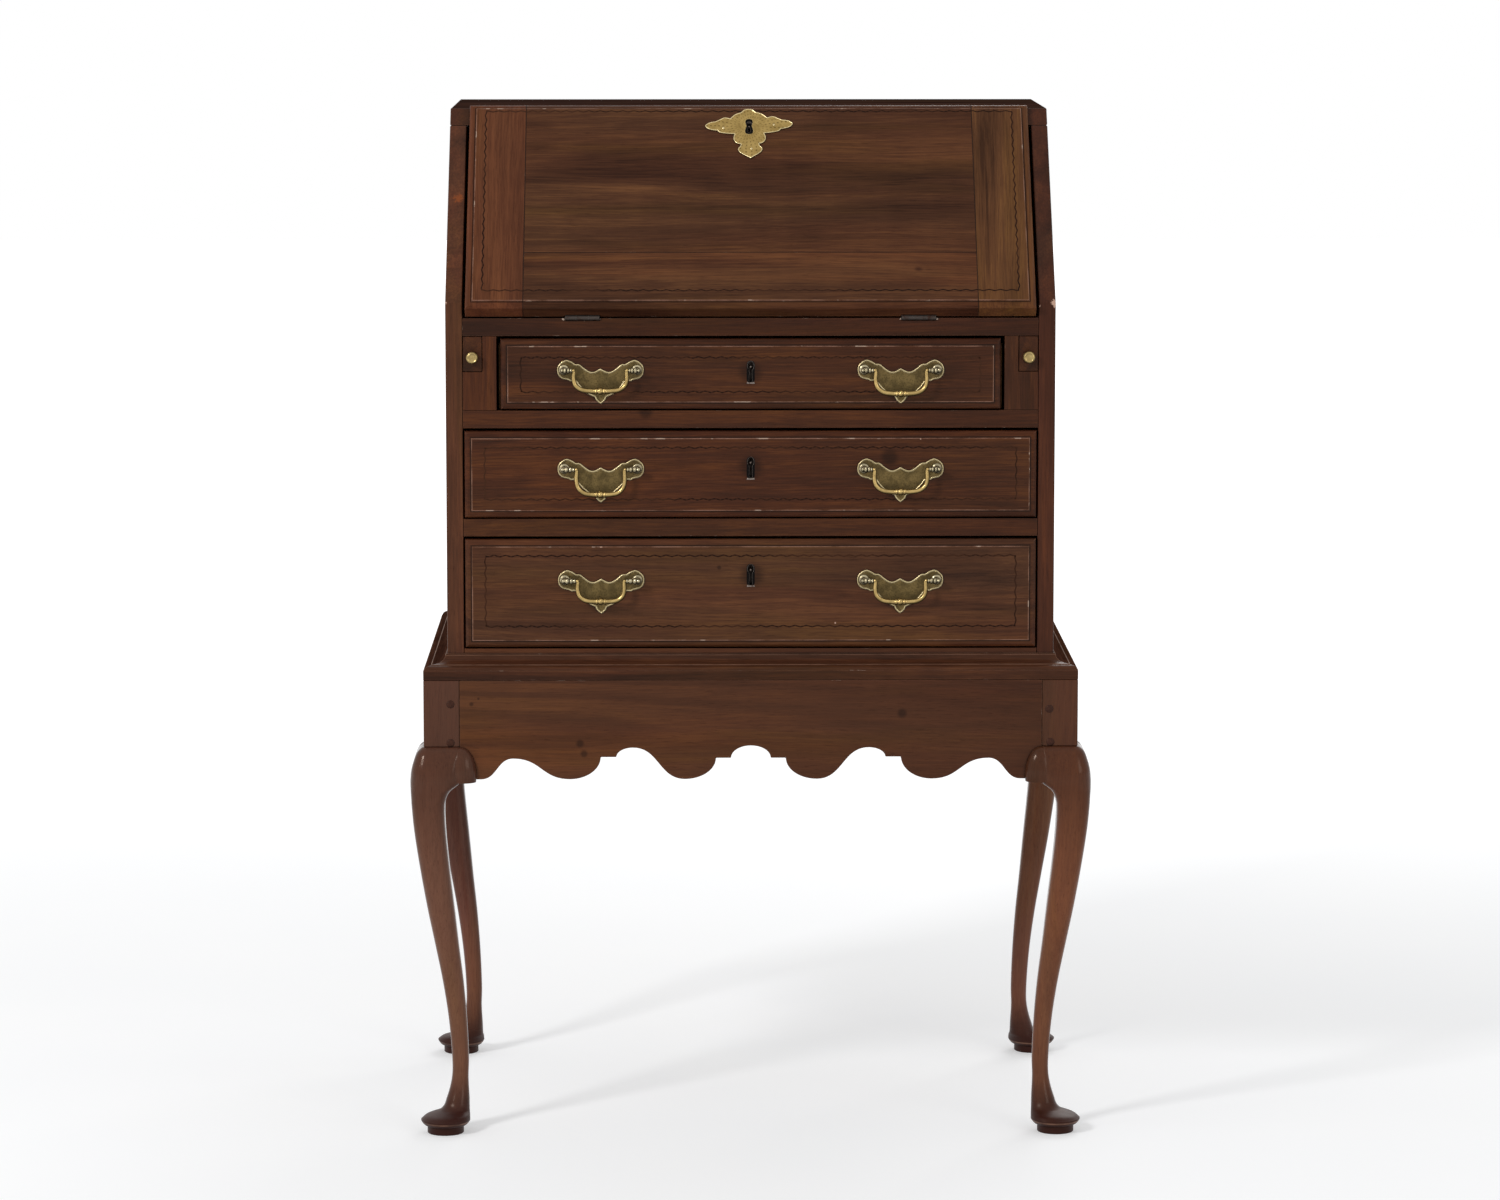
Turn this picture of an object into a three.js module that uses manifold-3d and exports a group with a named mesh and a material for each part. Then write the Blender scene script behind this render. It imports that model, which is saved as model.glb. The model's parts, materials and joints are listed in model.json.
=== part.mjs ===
// A slant-front desk on a frame with cabriole legs, in millimetres.
// +X is to the right of someone facing the desk, +Y is to its back and +Z is up.
// The origin is on the floor, under the middle of the whole desk.
import * as THREE from "three";
import { mergeVertices } from "three/addons/utils/BufferGeometryUtils.js";
import Module from "manifold-3d";

const wasm = await Module();
wasm.setup();

// Fits
const glueGap = 0.1; // between pieces that are fixed together
const slideGap = 0.5; // beside a piece that slides
const turnGap = 0.3; // round a piece that turns, and round let-in metal
const overrun = 5; // how far a cutting shape runs past the wood

// Case
const caseWidth = 610;
const caseDepth = 402;
const sideThick = 17;
const topThick = 17;
const backThick = 10;
const bottomThick = 17;
const topReveal = 0.6; // top board seen past the closed fall, along the slope
const slantAngle = THREE.MathUtils.degToRad(49.25);

// Drawer openings, rails and the writing bed, from the bottom up
const openingBottomHeight = 113.3;
const openingMiddleHeight = 91;
const openingTopHeight = 74.5;
const bladeThick = 18;
const bladeDepth = 60; // the thick front rail of a dust board
const dustThick = 8;
const bedThick = 18;

// Frame
const frameHeight = 466.5; // floor to the top of the rails
const frameProud = 23.5; // how far the frame stands out past the case
const railThick = 20;
const legBlock = 36;
const legBlockHeight = 67.5; // from the knee line up
const apronHeight = 100.5;
const backRailHeight = 66;

// Moulding between frame and case
const mouldingWidth = 40;
const mouldingLedge = 12; // what the case stands on
const mouldingFascia = 10;
const mouldingBeadWidth = 6;
const mouldingBeadHeight = 4.4;
const mouldingStep = 11; // from the outer face to the foot of the cove
const mouldingCoveHeight = 8.4;
const mouldingLip = 1.4; // fillet above the cove

// Feet
const footDiameter = 50;
const footPadDiameter = 37;
const footPadHeight = 8;
const footRimHeight = 13;
const footRimThick = 1;
const footRimUndercut = 3;
const footInset = 18.5; // the foot's centre from the frame's outer faces

// Knee returns, the rounded ears that join the knees to the aprons
const returnWidth = 17;
const returnHeight = 28;
const returnProud = 11.5;
const returnBelowApron = 2.5; // the ear's flat foot
const returnRoot = 4; // how far the ear is rooted in the knee

// Lopers and their housings
const loperThick = 19;
const loperHeight = 35.2;
const loperBackGap = 19.9; // behind a loper
const loperLift = 0.4; // below the writing bed
const housingWidth = 34; // stile beside the top drawer
const housingStileDepth = 30;
const housingLedgeThick = 12;
const knobDiameter = 12.7;
const knobReach = 12;
const knobDrop = 3; // knob's centre below the loper's middle

// Fall, measured up its slope from the hinge pin and out from the pin
const fallThick = 17.5;
const fallStart = 1;
const fallLength = 257.5;
const fallSideGap = 3;
const fallProud = 9.25; // out of the slanted edge of the sides
const cleatWidth = 58;
const pinLift = 0.5; // the pin above the writing bed, and ahead of the case
const mouldedEdgeWidth = 7;
const mouldedEdgeDrop = 3.8;
const mouldedEdgeFillet = 1.2;

// Hinges
const hingeInset = 59; // a hinge's middle from the seam of its cleat
const hingeWidth = 34;
const hingeMiddleWidth = 12;
const hingeReach = 22;
const leafThick = 1.6;
const knuckleRadius = 2.8;
const pinRadius = 1.2;
const boreRadius = 1.5;

// Locks and keyholes
const lockWidth = 52;
const drawerLockHeight = 50;
const fallLockHeight = 27;
const lockThick = 8;
const keyholeWidth = 7;
const keyholeHeight = 22;
const fallKeyholeWidth = 6;
const fallKeyholeHeight = 14;
const fallKeyholeDrop = 8.8; // keyhole's middle below the top of the lock
const keyholeDepth = 4; // into a lock

// Escutcheon on the fall
const escutcheonWidth = 89;
const escutcheonHeight = 63.6;
const escutcheonThick = 1.2;
const escutcheonKeyholeDrop = 22; // its top edge above the keyhole

// Long drawers
const drawerFrontThick = 20;
const drawerProud = 6;
const drawerGapBelow = 1.5;
const drawerGapAbove = 2.5;
const drawerSideGap = 1.5;
const topDrawerSideGap = 4;
const drawerWall = 9;
const drawerFloor = 8;
const drawerBoxDrop = 6; // the box's rim below the front's top
const drawerBackGap = 12;
const keyholeDropTop = 33; // keyhole's middle below each front's top
const keyholeDropMiddle = 36.9;
const keyholeDropBottom = 36;

// Handles
const handleInset = 138; // a handle's middle from the inside of the case
const handleRiseTop = 39.8; // posts above each front's bottom
const handleRiseMiddle = 49.6;
const handleRiseBottom = 68.7;
const plateWidth = 87;
const plateHeight = 44.5;
const plateThick = 1.6;
const postSpacing = 73;
const postReach = 12;
const postRadius = 2.6;
const postHeadLength = 10.5;
const postHeadRadius = 3.5;
const pivotRadius = 1.4;
const pivotBore = 1.9;
const pivotDepth = 3.2;
const bailWidth = 51;
const bailDrop = 25;
const bailRadius = 2;
const bailKnopLength = 14;
const bailKnopRadius = 3.6;

// Writing compartment
const galleryClear = 11.6; // behind the closed fall, under the top board
const galleryShelf = 7;
const galleryDivider = 6;
const galleryHoles = 6;
const smallDrawerHeight = 50;
const smallDrawers = 4;
const smallFrontThick = 10;
const smallWall = 5;
const smallFloor = 4;
const smallDrawerBackGap = 22;
const smallKnobDiameter = 12;
const smallKnobReach = 12;

// How finely round things are cut
const roundSides = 16;
const pinSides = 10;
const tubeSides = 8;
const bailSteps = 16;
const curveSteps = 5;
const splineSteps = 2;
const cornerSteps = 3;

// Places that follow from the sizes
const frameWidth = caseWidth + 2 * frameProud;
const frameDepth = caseDepth + frameProud;
const frameFront = -frameDepth / 2;
const frameBack = frameDepth / 2;
const caseFront = frameFront + frameProud;
const caseBack = frameBack;
const kneeHeight = frameHeight - legBlockHeight;
const innerHalf = caseWidth / 2 - sideThick;
const innerBack = caseBack - backThick - glueGap;
const mouldingBottom = frameHeight + glueGap;
const caseBottom = mouldingBottom + mouldingLedge + glueGap;
const openingBottom = caseBottom + bottomThick;
const lowerBlade = openingBottom + openingBottomHeight;
const openingMiddle = lowerBlade + bladeThick;
const upperBlade = openingMiddle + openingMiddleHeight;
const openingTop = upperBlade + bladeThick;
const bedBottom = openingTop + openingTopHeight;
const bedTop = bedBottom + bedThick;
const pinY = caseFront - pinLift;
const pinZ = bedTop + pinLift;
const fallFace = pinLift + fallThick; // outer face, out from the pin
const sideSlant = fallFace - fallProud; // slanted edge of the sides, out from the pin
const rebateRise = fallStart + fallLength - topThick / Math.sin(slantAngle) + topReveal - turnGap;
const topUnderside = pinZ + Math.cos(slantAngle) * sideSlant + Math.sin(slantAngle) * (rebateRise + turnGap);
const topFace = topUnderside + topThick;
const topDrawerHalf = innerHalf - housingWidth;
const channelHalf = innerHalf - loperThick - 2 * slideGap;
const handleMiddle = innerHalf - handleInset;
const loperTop = bedBottom - loperLift;
const loperBottom = loperTop - loperHeight;
const loperLength = innerBack - caseFront - loperBackGap;
const fallHalf = innerHalf - fallSideGap;
const fallSeam = fallHalf - cleatWidth;
const hingeMiddle = fallSeam - hingeInset;
const fallLockTop = rebateRise - 2 * turnGap;
const fallKeyholeRise = fallLockTop - fallKeyholeDrop;
const shelfBottom = bedTop + smallDrawerHeight;

// Depth of the slanted plane at a height, for a plane a given distance out from the pin
const slantY = (z, out) => pinY + (Math.cos(slantAngle) * (z - pinZ) - out) / Math.sin(slantAngle);
const slantZ = (y, out) => pinZ + (out + Math.sin(slantAngle) * (y - pinY)) / Math.cos(slantAngle);
const galleryFront = slantY(topUnderside, pinLift) + galleryClear;
const galleryDepth = innerBack - galleryFront;
const smallDrawerLength = galleryDepth - smallDrawerBackGap;

// Materials
const finish = (color, roughness, metalness) => new THREE.MeshStandardMaterial({ color, roughness, metalness });
const walnut = finish(0x4a2c1c, 0.45, 0);
const legWalnut = finish(0x5e3a2a, 0.4, 0);
const drawerWood = finish(0x8c6b45, 0.7, 0);
const brass = finish(0x8f7c48, 0.4, 1);
const brightBrass = finish(0xb59a58, 0.3, 1);
const iron = finish(0x3b3835, 0.6, 1);

// Solids
function bare(geometry) {
  geometry.deleteAttribute("normal");
  geometry.deleteAttribute("uv");
  return mergeVertices(geometry);
}

function solid(geometry) {
  const merged = bare(geometry);
  const mesh = new wasm.Mesh({
    numProp: 3,
    vertProperties: merged.attributes.position.array,
    triVerts: new Uint32Array(merged.index.array),
  });
  return new wasm.Manifold(mesh);
}

function surface(body) {
  const mesh = body.getMesh();
  const geometry = new THREE.BufferGeometry();
  geometry.setAttribute("position", new THREE.BufferAttribute(mesh.vertProperties, 3));
  geometry.setIndex(new THREE.BufferAttribute(mesh.triVerts, 1));
  return geometry;
}

// A box between two corners
function box(low, high) {
  const size = high.map((value, i) => value - low[i]);
  const geometry = new THREE.BoxGeometry(...size);
  return geometry.translate(...high.map((value, i) => (value + low[i]) / 2));
}

// A rod along X, between two places on it
function rodX(radius, from, to, sides) {
  const geometry = new THREE.CylinderGeometry(radius, radius, to - from, sides);
  return geometry.rotateZ(-Math.PI / 2).translate((from + to) / 2, 0, 0);
}

// A turn that sends X, Y and Z to the three given directions
function turnTo(x, y, z) {
  return new THREE.Matrix4().makeBasis(new THREE.Vector3(...x), new THREE.Vector3(...y), new THREE.Vector3(...z));
}

// Extrusions whose outline lies in the plane of the two named axes
function extrude(points, depth) {
  const outline = new THREE.Shape(points.map(([a, b]) => new THREE.Vector2(a, b)));
  return new THREE.ExtrudeGeometry(outline, { depth, bevelEnabled: false });
}

function extrudeYZ(points, from, to) {
  const turn = turnTo([0, 1, 0], [0, 0, 1], [1, 0, 0]);
  return extrude(points, to - from).applyMatrix4(turn).translate(from, 0, 0);
}

function extrudeXZ(points, from, to) {
  return extrude(points, to - from).rotateX(Math.PI / 2).translate(0, to, 0);
}

// A closed skin over rings of points that run anticlockwise, from the lowest ring up
function loft(rings) {
  const count = rings[0].length;
  const places = rings.flat();
  const faces = [];
  for (let i = 0; i + 1 < rings.length; i += 1) {
    for (let j = 0; j < count; j += 1) {
      const next = (j + 1) % count;
      const low = i * count;
      const high = low + count;
      faces.push(low + j, low + next, high + next);
      faces.push(low + j, high + next, high + j);
    }
  }
  const last = (rings.length - 1) * count;
  for (let j = 1; j + 1 < count; j += 1) {
    faces.push(0, j + 1, j);
    faces.push(last, last + j, last + j + 1);
  }
  const geometry = new THREE.BufferGeometry();
  geometry.setAttribute("position", new THREE.Float32BufferAttribute(places.flat(), 3));
  geometry.setIndex(faces);
  return geometry;
}

// A turned shape along Y, from a profile of radius and place along the axis
function turned(profile, sides) {
  return new THREE.LatheGeometry(profile.map(([radius, along]) => new THREE.Vector2(radius, along)), sides);
}

// A keyhole: a round top over a narrower slot that widens at its foot
const keyholeShares = [
  [0.28, -0.5],
  [0.22, 0.05],
  [0.42, 0.16],
  [0.5, 0.3],
  [0.36, 0.44],
  [0.12, 0.5],
];

function keyhole(width, height) {
  const right = keyholeShares.map(([x, z]) => [x * width, z * height]);
  const left = right.map(([x, z]) => [-x, z]).reverse();
  return [...right, ...left];
}

// A half outline of smooth runs that meet at corners, mirrored to close it
function mirroredRuns(runs, width, height) {
  const right = [];
  for (const run of runs) {
    const curve = new THREE.SplineCurve(run.map(([x, z]) => new THREE.Vector2(x * width, z * height)));
    const points = curve.getPoints((run.length - 1) * splineSteps);
    right.push(...(right.length ? points.slice(1) : points));
  }
  const left = right.slice(1, -1).map((p) => new THREE.Vector2(-p.x, p.y)).reverse();
  return [...right, ...left].map((p) => [p.x, p.y]);
}

// A board whose front edges are rounded down all round: across X, up Y, its face to +Z
function mouldedBoard(width, height, thick) {
  const base = thick - mouldedEdgeDrop - mouldedEdgeFillet;
  const levels = [[0, 0], [0, base]];
  for (let k = 1; k <= curveSteps; k += 1) {
    const angle = (k / curveSteps) * (Math.PI / 2);
    levels.push([mouldedEdgeWidth * (1 - Math.cos(angle)), base + mouldedEdgeDrop * Math.sin(angle)]);
  }
  levels.push([mouldedEdgeWidth, thick]);
  const rings = levels.map(([inset, z]) => {
    const x = width / 2 - inset;
    return [
      [-x, inset, z],
      [x, inset, z],
      [x, height - inset, z],
      [-x, height - inset, z],
    ];
  });
  return loft(rings);
}

// Meshes
function add(group, name, geometry, material, place = [0, 0, 0]) {
  const mesh = new THREE.Mesh(geometry, material);
  mesh.name = name;
  mesh.position.set(...place);
  group.add(mesh);
  return mesh;
}

// A piece on the right and its mirror image on the left
function addPair(group, name, geometry, material, place = [0, 0, 0]) {
  add(group, `${name}_right`, geometry, material, place);
  const [x, y, z] = place;
  add(group, `${name}_left`, geometry, material, [-x, y, z]).scale.x = -1;
}

// Legs
// Height as a share of the way from the foot's rim to the knee line, outer and inner faces as shares of the
// block, in from its outer faces, then how round the outer, side and inner corners are, as shares of the
// section's width
const legShares = [
  [0.0128, -0.02, 1.2, 0.47, 0.47, 0.47],
  [0.0232, 0.36, 1.186, 0.47, 0.47, 0.47],
  [0.0521, 0.53, 1.18, 0.47, 0.47, 0.47],
  [0.1059, 0.68, 1.153, 0.47, 0.47, 0.47],
  [0.1576, 0.694, 1.167, 0.47, 0.47, 0.47],
  [0.262, 0.611, 1.125, 0.46, 0.46, 0.46],
  [0.3653, 0.458, 1.042, 0.44, 0.45, 0.44],
  [0.4718, 0.25, 0.917, 0.42, 0.43, 0.4],
  [0.5752, 0.042, 0.806, 0.4, 0.4, 0.36],
  [0.692, -0.158, 0.675, 0.37, 0.37, 0.3],
  [0.7829, -0.29, 0.594, 0.36, 0.33, 0.26],
  [0.847, -0.35, 0.578, 0.35, 0.3, 0.22],
  [0.8677, -0.361, 0.625, 0.34, 0.26, 0.18],
  [0.8832, -0.372, 0.708, 0.33, 0.22, 0.14],
  [0.8935, -0.378, 0.819, 0.33, 0.18, 0.1],
  [0.9039, -0.383, 0.972, 0.32, 0.15, 0.08],
  [0.9142, -0.381, 1, 0.32, 0.13, 0.06],
  [0.94, -0.353, 1, 0.3, 0.12, 0.05],
  [0.9659, -0.278, 1, 0.28, 0.1, 0.05],
  [0.9866, -0.167, 1, 0.24, 0.08, 0.04],
  [1, 0, 1, 0.1, 0.04, 0.03],
];
const blockRootShare = 0.1; // how far the leg runs up inside its block

function legSection(z, outer, inner, roundOuter, roundSide, roundInner) {
  const width = inner - outer;
  const corners = [
    [outer, outer, roundOuter, 2],
    [inner, outer, roundSide, 3],
    [inner, inner, roundInner, 0],
    [outer, inner, roundSide, 1],
  ];
  return corners.flatMap(([u, v, round, quarter]) => {
    const radius = round * width;
    const centreU = u === outer ? u + radius : u - radius;
    const centreV = v === outer ? v + radius : v - radius;
    return Array.from({ length: cornerSteps + 1 }, (_, k) => {
      const angle = (quarter + k / cornerSteps) * (Math.PI / 2);
      return [centreU + radius * Math.cos(angle), centreV + radius * Math.sin(angle), z];
    });
  });
}

function footSection(z, diameter) {
  const round = legShares[0][3];
  return legSection(z, footInset - diameter / 2, footInset + diameter / 2, round, round, round);
}

// The ear beside a knee, in the leg's own corner: across the rail's face, proud of it
function kneeReturn() {
  const widest = kneeHeight - returnHeight;
  const earFoot = frameHeight - apronHeight - returnBelowApron;
  const ear = new THREE.SphereGeometry(1, roundSides, roundSides / 2)
    .scale(returnWidth + returnRoot, returnProud, returnHeight)
    .translate(legBlock - returnRoot, 0, widest);
  const keep = box(
    [0, -returnProud - overrun, earFoot],
    [legBlock + returnWidth + overrun, -glueGap, kneeHeight + overrun],
  );
  return solid(ear).intersect(solid(keep));
}

// A leg whose outer faces are the planes u = 0 and v = 0, along X and Y
function legSolid(frontReturn) {
  const rings = [
    footSection(0, footPadDiameter),
    footSection(footPadHeight, footPadDiameter),
    footSection(footPadHeight, footDiameter - 2 * footRimUndercut),
    footSection(footRimHeight, footDiameter),
    footSection(footRimHeight + footRimThick, footDiameter),
  ];
  for (const [high, out, inn, ...round] of legShares) {
    const z = footRimHeight + high * (kneeHeight - footRimHeight);
    rings.push(legSection(z, out * legBlock, inn * legBlock, ...round));
  }
  const root = blockRootShare * legBlock;
  rings.push(legSection(kneeHeight + root, root, legBlock - root, ...legShares.at(-1).slice(3)));
  const block = box([0, 0, kneeHeight], [legBlock, legBlock, frameHeight]);
  let leg = solid(loft(rings)).add(solid(block));
  const ear = kneeReturn();
  if (frontReturn) leg = leg.add(ear);
  const swap = [0, 1, 0, 0, 1, 0, 0, 0, 0, 0, 1, 0, 0, 0, 0, 1];
  return leg.add(ear.transform(swap));
}

function makeLegs(group) {
  const halfWidth = frameWidth / 2;
  for (const [end, front] of [["front", true], ["rear", false]]) {
    const geometry = surface(legSolid(front));
    for (const [side, sign] of [["left", 1], ["right", -1]]) {
      const depth = front ? frameFront : frameBack;
      const mesh = add(group, `leg_${end}_${side}`, geometry, legWalnut, [-sign * halfWidth, depth, 0]);
      mesh.scale.set(sign, front ? 1 : -1, 1);
    }
  }
}

// Aprons
// Half of a scroll from its middle: how it gets there, then shares of the half length and of the apron's
// height. An arc leaves level and ends upright, a lobe the other way, and an ogee is level at both ends.
const frontScrollShares = [
  ["start", 0, 0.662],
  ["arc", 0.068, 0.786],
  ["line", 0.12, 0.786],
  ["lobe", 0.227, 1],
  ["ogee", 0.405, 0.682],
  ["arc", 0.462, 0.776],
  ["line", 0.516, 0.776],
  ["lobe", 0.622, 1],
  ["ogee", 0.817, 0.791],
  ["ogee", 0.927, 1],
  ["line", 1, 1],
];
const sideScrollShares = [
  ["start", 0, 0.662],
  ["arc", 0.113, 0.786],
  ["line", 0.198, 0.786],
  ["lobe", 0.376, 1],
  ["ogee", 0.67, 0.682],
  ["ogee", 0.88, 1],
  ["line", 1, 1],
];
const arcShare = 0.5523; // handle of a quarter ellipse
const ogeeShare = 0.5;

function apronOutline(scroll, halfLength) {
  const path = new THREE.Path();
  let [x, z] = [0, 0];
  for (const [kind, across, down] of scroll) {
    const toX = across * halfLength;
    const toZ = frameHeight - down * apronHeight;
    const dx = toX - x;
    const dz = toZ - z;
    if (kind === "start") path.moveTo(toX, toZ);
    if (kind === "line") path.lineTo(toX, toZ);
    if (kind === "arc") path.bezierCurveTo(x + arcShare * dx, z, toX, toZ - arcShare * dz, toX, toZ);
    if (kind === "lobe") path.bezierCurveTo(x, z + arcShare * dz, toX - arcShare * dx, toZ, toX, toZ);
    if (kind === "ogee") path.bezierCurveTo(x + ogeeShare * dx, z, toX - ogeeShare * dx, toZ, toX, toZ);
    [x, z] = [toX, toZ];
  }
  const right = path.getPoints(curveSteps).map((p) => [p.x, p.y]);
  const left = right.slice(1).map(([a, b]) => [-a, b]).reverse();
  return [[-halfLength, frameHeight], ...left, ...right, [halfLength, frameHeight]];
}

function makeRails(group) {
  const frontHalf = frameWidth / 2 - legBlock - glueGap;
  const sideHalf = frameDepth / 2 - legBlock - glueGap;
  const front = extrudeXZ(apronOutline(frontScrollShares, frontHalf), 0, railThick);
  add(group, "apron_front", front, walnut, [0, frameFront, 0]);
  const side = extrudeYZ(apronOutline(sideScrollShares, sideHalf), -railThick, 0);
  addPair(group, "apron", side, walnut, [frameWidth / 2, 0, 0]);
  const shoulder = frameWidth / 2 - mouldingWidth - glueGap;
  const bottom = frameHeight - backRailHeight;
  const back = [
    [-frontHalf, bottom],
    [frontHalf, bottom],
    [frontHalf, frameHeight],
    [shoulder, frameHeight],
    [shoulder, caseBottom - glueGap],
    [-shoulder, caseBottom - glueGap],
    [-shoulder, frameHeight],
    [-frontHalf, frameHeight],
  ];
  add(group, "rail_back", extrudeXZ(back, -railThick, 0), walnut, [0, frameBack, 0]);
}

// Moulding
// Its section, from the outer face inwards and from its bottom up
function mouldingSection() {
  const caseFace = frameProud - glueGap;
  const beadTop = mouldingFascia + mouldingBeadHeight;
  const coveFoot = mouldingStep;
  const coveHead = caseFace - mouldingLip;
  const coveTop = beadTop + mouldingCoveHeight;
  const section = [[0, 0]];
  for (let k = 0; k <= curveSteps; k += 1) {
    const angle = (k / curveSteps) * (Math.PI / 2);
    section.push([
      mouldingBeadWidth * (1 - Math.cos(angle)),
      mouldingFascia + mouldingBeadHeight * Math.sin(angle),
    ]);
  }
  for (let k = 0; k <= curveSteps; k += 1) {
    const angle = (k / curveSteps) * (Math.PI / 2);
    section.push([
      coveFoot + (coveHead - coveFoot) * Math.sin(angle),
      coveTop - mouldingCoveHeight * Math.cos(angle),
    ]);
  }
  section.push([coveHead, coveTop + mouldingLip]);
  section.push([caseFace, coveTop + mouldingLip]);
  section.push([caseFace, mouldingLedge]);
  section.push([mouldingWidth, mouldingLedge]);
  section.push([mouldingWidth, 0]);
  return section;
}

// A length of moulding along Z in its own frame, mitred at the start and, where asked, at the end
function mouldingLength(length, endMitre) {
  const geometry = extrude(mouldingSection(), length);
  const place = geometry.attributes.position;
  for (let i = 0; i < place.count; i += 1) {
    const inward = place.getX(i);
    if (place.getZ(i) < length / 2) place.setZ(i, inward);
    else if (endMitre) place.setZ(i, length - inward);
  }
  return geometry;
}

function makeMouldings(group) {
  const across = turnTo([0, 1, 0], [0, 0, 1], [1, 0, 0]);
  const backwards = turnTo([-1, 0, 0], [0, 0, 1], [0, 1, 0]);
  const front = mouldingLength(frameWidth, true).applyMatrix4(across);
  add(group, "moulding_front", front, walnut, [-frameWidth / 2, frameFront, mouldingBottom]);
  const mitreGap = 2 * glueGap;
  const side = mouldingLength(frameDepth - mitreGap, false).applyMatrix4(backwards);
  addPair(group, "moulding", side, walnut, [frameWidth / 2, frameFront + mitreGap, mouldingBottom]);
}

// Case
function makeCase(group) {
  const sideTop = topUnderside - glueGap;
  const side = [
    [caseFront, caseBottom],
    [caseBack, caseBottom],
    [caseBack, sideTop],
    [slantY(sideTop, sideSlant), sideTop],
    [caseFront, slantZ(caseFront, sideSlant)],
  ];
  addPair(group, "case_side", extrudeYZ(side, innerHalf, caseWidth / 2), walnut);
  const top = [
    [slantY(topUnderside, sideSlant), topUnderside],
    [caseBack, topUnderside],
    [caseBack, topFace],
    [slantY(topFace, sideSlant), topFace],
  ];
  add(group, "top_board", extrudeYZ(top, -caseWidth / 2, caseWidth / 2), walnut);
  const half = innerHalf - glueGap;
  const back = box([-half, caseBack - backThick, caseBottom], [half, caseBack, sideTop]);
  add(group, "back_board", back, drawerWood);
  const bottom = box([-half, caseFront, caseBottom], [half, innerBack, openingBottom]);
  add(group, "bottom_board", bottom, walnut);
  for (const [name, z] of [["blade_lower", lowerBlade], ["blade_upper", upperBlade]]) {
    const under = z + bladeThick - dustThick;
    const section = [
      [caseFront, z],
      [caseFront + bladeDepth, z],
      [caseFront + bladeDepth, under],
      [innerBack, under],
      [innerBack, z + bladeThick],
      [caseFront, z + bladeThick],
    ];
    add(group, name, extrudeYZ(section, -half, half), walnut);
  }
}

// The space that a hinge leaf and its knuckle take in the wood, with the pin along X at the origin
function hingeRoom() {
  const half = hingeWidth / 2 + turnGap;
  const knuckle = solid(rodX(knuckleRadius + turnGap + glueGap, -half, half, roundSides));
  const leaf = box([-half, 0, pinLift - overrun], [half, hingeReach + turnGap, pinLift + leafThick + turnGap]);
  return knuckle.add(solid(leaf));
}

function makeBed(group) {
  const half = innerHalf - glueGap;
  let bed = solid(box([-half, caseFront, bedBottom], [half, innerBack, bedTop]));
  const room = hingeRoom().mirror([0, 0, 1]);
  for (const sign of [-1, 1]) {
    bed = bed.subtract(room.translate([sign * hingeMiddle, pinY, pinZ]));
  }
  add(group, "writing_bed", surface(bed), walnut);
}

function makeHousings(group) {
  const low = openingTop + glueGap;
  const high = bedBottom - glueGap;
  const ledge = loperBottom - turnGap;
  const outer = innerHalf - glueGap;
  const back = innerBack - glueGap;
  const stile = box([topDrawerHalf, caseFront, low], [outer, caseFront + housingStileDepth, ledge]);
  const divider = box([topDrawerHalf, caseFront, low], [channelHalf, back, high]);
  const runner = box([topDrawerHalf, caseFront, ledge - housingLedgeThick], [outer, back, ledge]);
  const housing = solid(stile).add(solid(divider)).add(solid(runner));
  addPair(group, "loper_housing", surface(housing), walnut);
}

// Lopers
const knobShares = [
  [0, 0],
  [0.36, 0],
  [0.36, 0.1],
  [0.24, 0.2],
  [0.24, 0.42],
  [0.46, 0.55],
  [0.5, 0.68],
  [0.42, 0.86],
  [0.24, 0.96],
  [0, 1],
];

// A knob that stands out to -Y from the origin
function knob(diameter, reach) {
  const profile = knobShares.map(([radius, along]) => [radius * diameter, along * reach]);
  return turned(profile, pinSides).rotateX(Math.PI);
}

function makeLopers(group) {
  const x = (innerHalf + channelHalf) / 2;
  const bar = box(
    [-loperThick / 2, 0, -loperHeight / 2],
    [loperThick / 2, loperLength, loperHeight / 2],
  );
  const middle = (loperTop + loperBottom) / 2;
  addPair(group, "loper", bar, walnut, [x, caseFront, middle]);
  const brassKnob = knob(knobDiameter, knobReach);
  addPair(group, "loper_knob", brassKnob, brightBrass, [x, caseFront - glueGap, middle - knobDrop]);
}

// Fall
// The escutcheon's right half, as shares of its width and height, from its top and down
const escutcheonShares = [
  [[0, 0], [0.055, -0.012], [0.115, -0.075]],
  [[0.115, -0.075], [0.155, -0.092], [0.222, -0.155]],
  [[0.222, -0.155], [0.275, -0.152], [0.33, -0.185], [0.375, -0.225]],
  [[0.375, -0.225], [0.44, -0.24], [0.49, -0.262], [0.5, -0.3], [0.48, -0.345]],
  [[0.48, -0.345], [0.42, -0.4], [0.34, -0.43], [0.25, -0.448], [0.155, -0.51]],
  [[0.155, -0.51], [0.18, -0.56], [0.183, -0.62], [0.15, -0.675], [0.105, -0.73]],
  [[0.105, -0.73], [0.135, -0.8], [0.125, -0.87], [0.085, -0.93], [0, -1]],
];

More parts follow.
